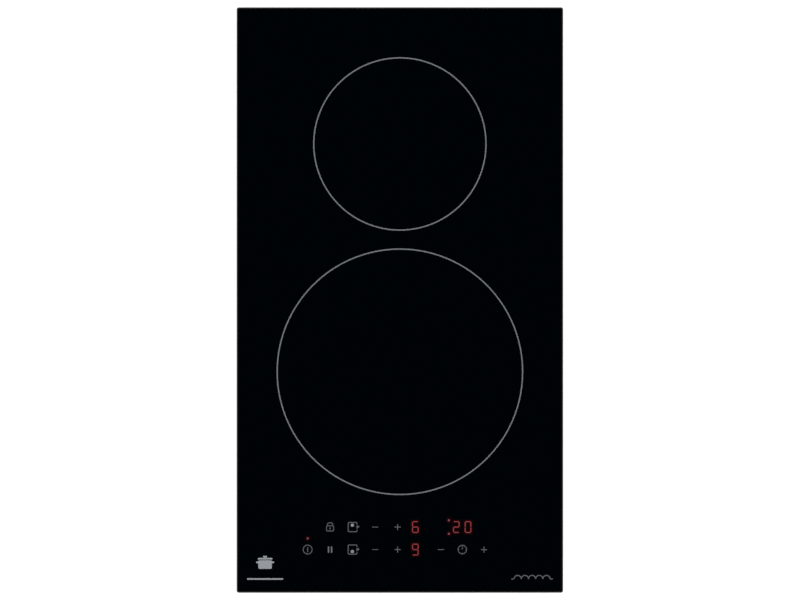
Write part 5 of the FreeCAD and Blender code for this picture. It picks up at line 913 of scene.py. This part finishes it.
def wireSleeve():
    # brown, blue and striped earth wires, red and black fan wires, told apart by their place
    material, tree, place = startMaterial("wireSleeve", {"IOR": 1.5})
    x, y, z = axes(tree, place)
    terminal, half = middleOf("terminal_block")[0], 0.5 * wireLook["pitch"]
    slant = maths(tree, "FRACT", times(tree, plus(tree, x, plus(tree, y, z)), wireLook["stripes"]))
    earth = blendColour(tree, maths(tree, "GREATER_THAN", slant, 0.5), *wireLook["earth"])
    tone = blendColour(tree, maths(tree, "GREATER_THAN", x, terminal - half), wireLook["brown"], earth)
    tone = blendColour(tree, maths(tree, "GREATER_THAN", x, terminal + half), tone, wireLook["blue"])
    split = middleOf("fan_bearing")[0] + wireLook["fanSplit"]
    fan = blendColour(tree, maths(tree, "GREATER_THAN", x, split), *wireLook["fan"])
    tone = blendColour(tree, maths(tree, "LESS_THAN", x, 0.0), tone, fan)
    fine = grained(tree, place, 0.5)
    tone = blendColour(tree, remap(tree, fine, 0.5, 0.9, 0.0, 0.2), tone, (0.3, 0.3, 0.3))
    return finished(material, tone, vary(tree, fine, 0.3, 0.42), (fine, 0.02, 0.4))


strandLook = {"strands": 9.0, "twist": 130.0}  # across the wire, and turns to the metre


def litzCopper():
    # fine enamelled strands twisted round the wire, read from the wire's own UV
    material, tree, place = startMaterial("litzCopper", {
        "Metallic": 1.0, "Coat Weight": 0.5, "Coat Roughness": 0.15,
    })
    u, v, _ = alongPiece(tree)
    lay = plus(tree, times(tree, v, strandLook["strands"]), times(tree, u, strandLook["twist"]))
    strand = times(tree, zigzag(tree, lay), 2.0)
    uneven = grained(tree, place, 3.0)
    # each strand painted darker towards its sides: painted shade between the strands
    tone = blendColour(tree, remap(tree, strand, 0.0, 0.7), (0.16, 0.045, 0.016), (0.66, 0.27, 0.105))
    tone = blendColour(tree, remap(tree, uneven, 0.35, 0.75, 0.0, 0.4), tone, (0.42, 0.14, 0.05))
    return finished(material, tone, remap(tree, strand, 0.0, 1.0, 0.5, 0.24), (strand, 0.18, 0.8))


braidLook = {"threads": 8.0, "crossings": 900.0}  # round the lead, and to the metre


def leadSleeve():
    # braided glass sleeve: two sets of threads crossing round the lead
    material, tree, _ = startMaterial("leadSleeve", {"Roughness": 0.6, "Sheen Weight": 0.25})
    u, v, _ = alongPiece(tree)
    turn = times(tree, v, braidLook["threads"])
    along = times(tree, u, braidLook["crossings"])
    crossings = [zigzag(tree, maths(tree, way, turn, along)) for way in ("ADD", "SUBTRACT")]
    braid = times(tree, maths(tree, "MAXIMUM", *crossings), 2.0)
    # darker where the threads dip: painted shade between the threads
    tone = blendColour(tree, remap(tree, braid, 0.3, 0.9), (0.36, 0.33, 0.26), (0.74, 0.70, 0.60))
    return finished(material, tone, relief=(braid, 0.12, 0.7))


def ribbonPlastic():
    # parallel conductors under a grey jacket, the first one marked red
    material, tree, _ = startMaterial("ribbonPlastic", {"Roughness": 0.36, "IOR": 1.5})
    v = alongPiece(tree)[1]
    side = times(tree, zigzag(tree, v), 2.0)
    cores = times(tree, zigzag(tree, times(tree, side, 10.0)), 2.0)
    # darker along the grooves between the cores: painted shade
    tone = blendColour(tree, remap(tree, cores, 0.0, 0.5), (0.18, 0.18, 0.18), (0.38, 0.38, 0.37))
    tone = blendColour(tree, remap(tree, side, 0.11, 0.09), tone, (0.48, 0.03, 0.02))
    return finished(material, tone, relief=(cores, 0.25, 0.8))


special = {
    "black_glass": blackGlass, "print_ink": printInk, "display_light": displayLight,
    "galvanised_sheet": galvanisedSheet, "seal_foam": sealFoam, "mica": micaSheet,
    "circuit_board": circuitBoard, "display_case": displayCase, "package_epoxy": packageEpoxy,
    "choke_core": woundCopper, "film_case": filmCase, "can_sleeve": canSleeve,
    "transformer_core": transformerCore, "wire_sleeve": wireSleeve, "stator_steel": statorSteel,
    "litz_copper": litzCopper, "lead_sleeve": leadSleeve, "ribbon_plastic": ribbonPlastic,
}

finishes = {}
for entry in frame["record"]["materials"]:
    label = entry["slot"]
    if label in special:
        finishes[label] = special[label]()
    elif label in metalLooks:
        finishes[label] = plainMetal(label)
    else:
        finishes[label] = moulded(label)

for part in frame["record"]["subparts"]:
    nodes[part["node"]].material_slots[0].material = finishes[part["material_slot"]]
for label in ("front_clamp_screw", "rear_clamp_screw"):
    nodes[label].material_slots[0].material = plainMetal("clamp_steel", middleOf(label))
print(len(finishes), "finishes ready")


# new pieces, worked out as grids of points

def meshPiece(name, parts, slotName, body=None):
    # one object from several swept parts: each part's faces are shifted by the points before it
    points, quads, caps, uvs = [], [], [], []
    for partPoints, partQuads, partCaps, partUvs in parts:
        start = sum(len(done) for done in points)
        points.append(partPoints)
        quads.append(partQuads + start)
        caps += [(np.array(cap) + start).tolist() for cap in partCaps]
        uvs.append(partUvs)
    corners = sum(len(cap) for cap in caps)
    mesh = bpy.data.meshes.new(name)
    mesh.from_pydata(np.concatenate(points).tolist(), [], np.concatenate(quads).tolist() + caps)
    flat = np.concatenate([np.concatenate(uvs), np.zeros((corners, 2))])
    mesh.uv_layers.new(name="along").data.foreach_set("uv", flat.reshape(-1).astype(np.float32))
    mesh.polygons.foreach_set("use_smooth", np.ones(len(mesh.polygons), bool))
    mesh.materials.append(finishes[slotName])
    piece = bpy.data.objects.new(name, mesh)
    bpy.context.scene.collection.objects.link(piece)
    if body:
        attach(piece, body)
    return piece


def gridFaces(rowCount, count):
    # quads between neighbouring closed rings of points, and a flat cap at each end
    rows, columns = np.meshgrid(np.arange(rowCount - 1), np.arange(count), indexing="ij")
    following = (columns + 1) % count
    quads = np.stack([rows * count + columns, rows * count + following,
                      (rows + 1) * count + following, (rows + 1) * count + columns], axis=-1).reshape(-1, 4)
    caps = [list(range(count))[::-1], [(rowCount - 1) * count + k for k in range(count)]]
    return rows, columns, quads, caps


def sweep(path, profile, up=(0, 0, 1)):
    # a closed profile carried along a path: each point is the path plus the profile's
    # first number across it and the second over it; a flat cap closes each end
    tangent = np.gradient(path, axis=0)
    tangent /= np.linalg.norm(tangent, axis=1, keepdims=True)
    across = np.cross(np.broadcast_to(np.array(up, float), path.shape), tangent)
    across /= np.linalg.norm(across, axis=1, keepdims=True)
    over = np.cross(tangent, across)
    points = path[:, None] + profile[None, :, :1] * across[:, None] + profile[None, :, 1:] * over[:, None]
    count = len(profile)
    rows, columns, quads, caps = gridFaces(len(path), count)
    length = np.concatenate([[0], np.cumsum(np.linalg.norm(np.diff(path, axis=0), axis=1))])
    u = np.stack([length[rows], length[rows], length[rows + 1], length[rows + 1]], axis=-1)
    v = np.stack([columns, columns + 1, columns + 1, columns], axis=-1) / count
    return points.reshape(-1, 3), quads, caps, np.stack([u, v], axis=-1).reshape(-1, 2)


def turned(middle, radii, levels, sides=48):
    # a surface of revolution: at each level a ring of points at that level's radius
    turn = np.linspace(0, 2 * math.pi, sides, endpoint=False)
    radii = np.array(radii)[:, None]
    points = np.stack([middle[0] + radii * np.cos(turn), middle[1] + radii * np.sin(turn),
                       np.broadcast_to(np.array(levels)[:, None], (len(levels), sides))], axis=-1)
    _, _, quads, caps = gridFaces(len(levels), sides)
    return points.reshape(-1, 3), quads, caps, np.zeros((quads.size, 2))


def roundProfile(radius, sides):
    turn = np.linspace(0, 2 * math.pi, sides, endpoint=False)
    return radius * np.stack([np.cos(turn), np.sin(turn)], axis=1)


def ribbedProfile(width, thick, cores):
    # a flat strip with one rounded ridge for each core, above and below
    across = np.linspace(-0.5, 0.5, cores * 6 + 1)
    height = thick / 2 * (0.62 + 0.38 * np.abs(np.sin(math.pi * cores * (across + 0.5))))
    upper = np.stack([across * width, height], axis=1)
    lower = np.stack([across[::-1] * width, -height[::-1]], axis=1)
    return np.concatenate([lower, upper])


def smoothRoute(corners, count):
    # a curve through a route: a cubic in each coordinate between corners, by length
    corners = np.array(corners, float)
    steps = np.concatenate([[0], np.cumsum(np.linalg.norm(np.diff(corners, axis=0), axis=1))])
    slopes = np.gradient(corners, steps, axis=0)
    at = np.linspace(0, steps[-1], count)
    k = np.clip(np.searchsorted(steps, at, side="right") - 1, 0, len(steps) - 2)
    width = (steps[k + 1] - steps[k])[:, None]
    t = (at - steps[k])[:, None] / width
    return ((2 * t**3 - 3 * t**2 + 1) * corners[k] + (t**3 - 2 * t**2 + t) * width * slopes[k]
            + (3 * t**2 - 2 * t**3) * corners[k + 1] + (t**3 - t**2) * width * slopes[k + 1])


windings = {
    "frontLitz": {"node": "front_winding", "body": "front_coil", "inner": 0.0240},
    "rearLitz": {"node": "rear_winding", "body": "rear_coil", "inner": 0.0190},
}
litzWire = {"pitch": 0.00165, "fill": 0.485, "layers": 2, "sides": 7, "steps": 60}


def woundCoil(name, look):
    # two flat spirals, one on the other: the radius grows by a pitch each turn about the coil's middle
    low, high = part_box(look["node"])
    centre = (low + high) / 2
    outer = (high[0] - low[0]) / 2
    pitch, layers = litzWire["pitch"], litzWire["layers"]
    turns = (outer - look["inner"]) / pitch - 1.0
    angle = np.linspace(0, 2 * math.pi * turns, int(turns * litzWire["steps"]))
    reach = look["inner"] + pitch * (0.5 + angle / (2 * math.pi))
    parts = []
    for layer in range(layers):
        spin = -angle if layer else angle
        level = np.full_like(angle, low[2] + (high[2] - low[2]) * (layer + 0.5) / layers)
        path = np.stack([centre[0] + reach * np.cos(spin), centre[1] + reach * np.sin(spin), level], axis=1)
        parts.append(sweep(path, roundProfile(pitch * litzWire["fill"], litzWire["sides"])))
    piece = meshPiece(name, parts, "litz_copper", look["body"])
    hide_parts(look["node"])


for label, look in windings.items():
    woundCoil(label, look)
print("windings wound")


springs = {
    # node, joint that presses them, turns, wire radius
    "frontCoilSprings": ("front_coil_springs", "front_coil_float", 4.2, 0.00045),
    "rearCoilSprings": ("rear_coil_springs", "rear_coil_float", 4.2, 0.00045),
    "controlSprings": ("control_springs", "control_float", 3.6, 0.0003),
}


def compressionSpring(middle, half, turns, wireRadius, reach=None):
    # a helix whose end turns lie nearly closed: the rise eases in and out along the wire
    reach = reach or half[0] - wireRadius
    angle = np.linspace(0, 2 * math.pi * turns, int(turns * 26))
    share = angle / angle[-1]
    ease = share - 0.55 * np.sin(2 * math.pi * share) / (2 * math.pi)
    level = middle[2] + (2 * ease - 1) * (half[2] - wireRadius)
    path = np.stack([middle[0] + reach * np.cos(angle), middle[1] + reach * np.sin(angle), level], axis=1)
    return sweep(path, roundProfile(wireRadius, 9))


for label, (node, joint, turns, wireRadius) in springs.items():
    parts = [compressionSpring(middle, half, turns, wireRadius) for middle, half in clumps(node, gap=0.002)]
    piece = meshPiece(label, parts, "spring_steel", "case")
    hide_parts(node)
    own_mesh(piece)

touchLook = {"turns": 4.5, "wire": 0.0003, "reach": 0.0030, "pad": 0.0004, "lip": 0.00008}


def touchKeys():
    # under each key a soft spring with a thin pad on it, pressed to the glass
    parts = []
    for middle, half in clumps("touch_springs", gap=0.002):
        drop = np.array([0, 0, touchLook["pad"] / 2])
        spring = [touchLook[label] for label in ("turns", "wire", "reach")]
        parts.append(compressionSpring(middle - drop, half - drop, *spring))
        radius, lip, top = half[0], touchLook["lip"], middle[2] + half[2]
        bottom = top - touchLook["pad"]
        levels = (bottom, bottom + lip, top - lip, top)
        parts.append(turned(middle, (radius - lip, radius, radius, radius - lip), levels))
    piece = meshPiece("touchSprings", parts, "spring_steel", "control_unit")
    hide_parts("touch_springs")


touchKeys()
print("springs wound")


leads = {
    "frontLeads": {"node": "front_coil_leads", "around": "front_winding", "body": "front_coil",
                   "reach": 0.070, "angle": 45.0, "apart": 0.0108, "lean": 0.005},
    "rearLeads": {"node": "rear_coil_leads", "around": "rear_winding", "body": "rear_coil",
                  "reach": 0.046, "angle": 300.0, "apart": 0.0108, "lean": -0.015},
}
leadLevels = {"bend": -0.0125, "lower": -0.0232, "radius": 0.0014}


def coilLead(name, look):
    # two sleeved leads, straight down from the coil and then leaning over to their posts
    low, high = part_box(look["node"])
    centre = middleOf(look["around"])
    half = math.degrees(look["apart"] / 2 / look["reach"])
    parts = []
    for step in (-half, half):
        turn = math.radians(look["angle"] + step)
        x = centre[0] + look["reach"] * math.cos(turn)
        y = centre[1] + look["reach"] * math.sin(turn)
        lower = y + look["lean"]
        bend = (x, y, leadLevels["bend"])
        corners = [(x, y, high[2]), bend, (x, lower, leadLevels["lower"]), (x, lower, low[2])]
        parts.append(sweep(smoothRoute(corners, 44), roundProfile(leadLevels["radius"], 14), up=(1, 0, 0)))
    piece = meshPiece(name, parts, "lead_sleeve")
    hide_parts(look["node"])
    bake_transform(piece)


for label, look in leads.items():
    coilLead(label, look)

ribbonLook = {"x": 0.060, "start": -0.2016, "end": -0.1120, "width": 0.014, "thick": 0.0009, "cores": 10}


def ribbonStrip():
    # down from the control board, over in one long wave, and down into the socket
    low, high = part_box("ribbon_cable")
    x, start, end = ribbonLook["x"], ribbonLook["start"], ribbonLook["end"]
    gap = end - start
    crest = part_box("support_plate")[0][2]
    corners = [(x, start, high[2]), (x, start, crest), (x, start + 0.2 * gap, low[2]),
               (x, end - 0.25 * gap, crest - 0.001), (x, end, crest), (x, end, low[2])]
    profile = ribbedProfile(ribbonLook["width"], ribbonLook["thick"], ribbonLook["cores"])
    part = sweep(smoothRoute(corners, 90), profile[:, ::-1], up=(1, 0, 0))
    piece = meshPiece("ribbonStrip", [part], "ribbon_plastic")
    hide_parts("ribbon_cable")
    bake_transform(piece)


ribbonStrip()
print("leads and ribbon laid")
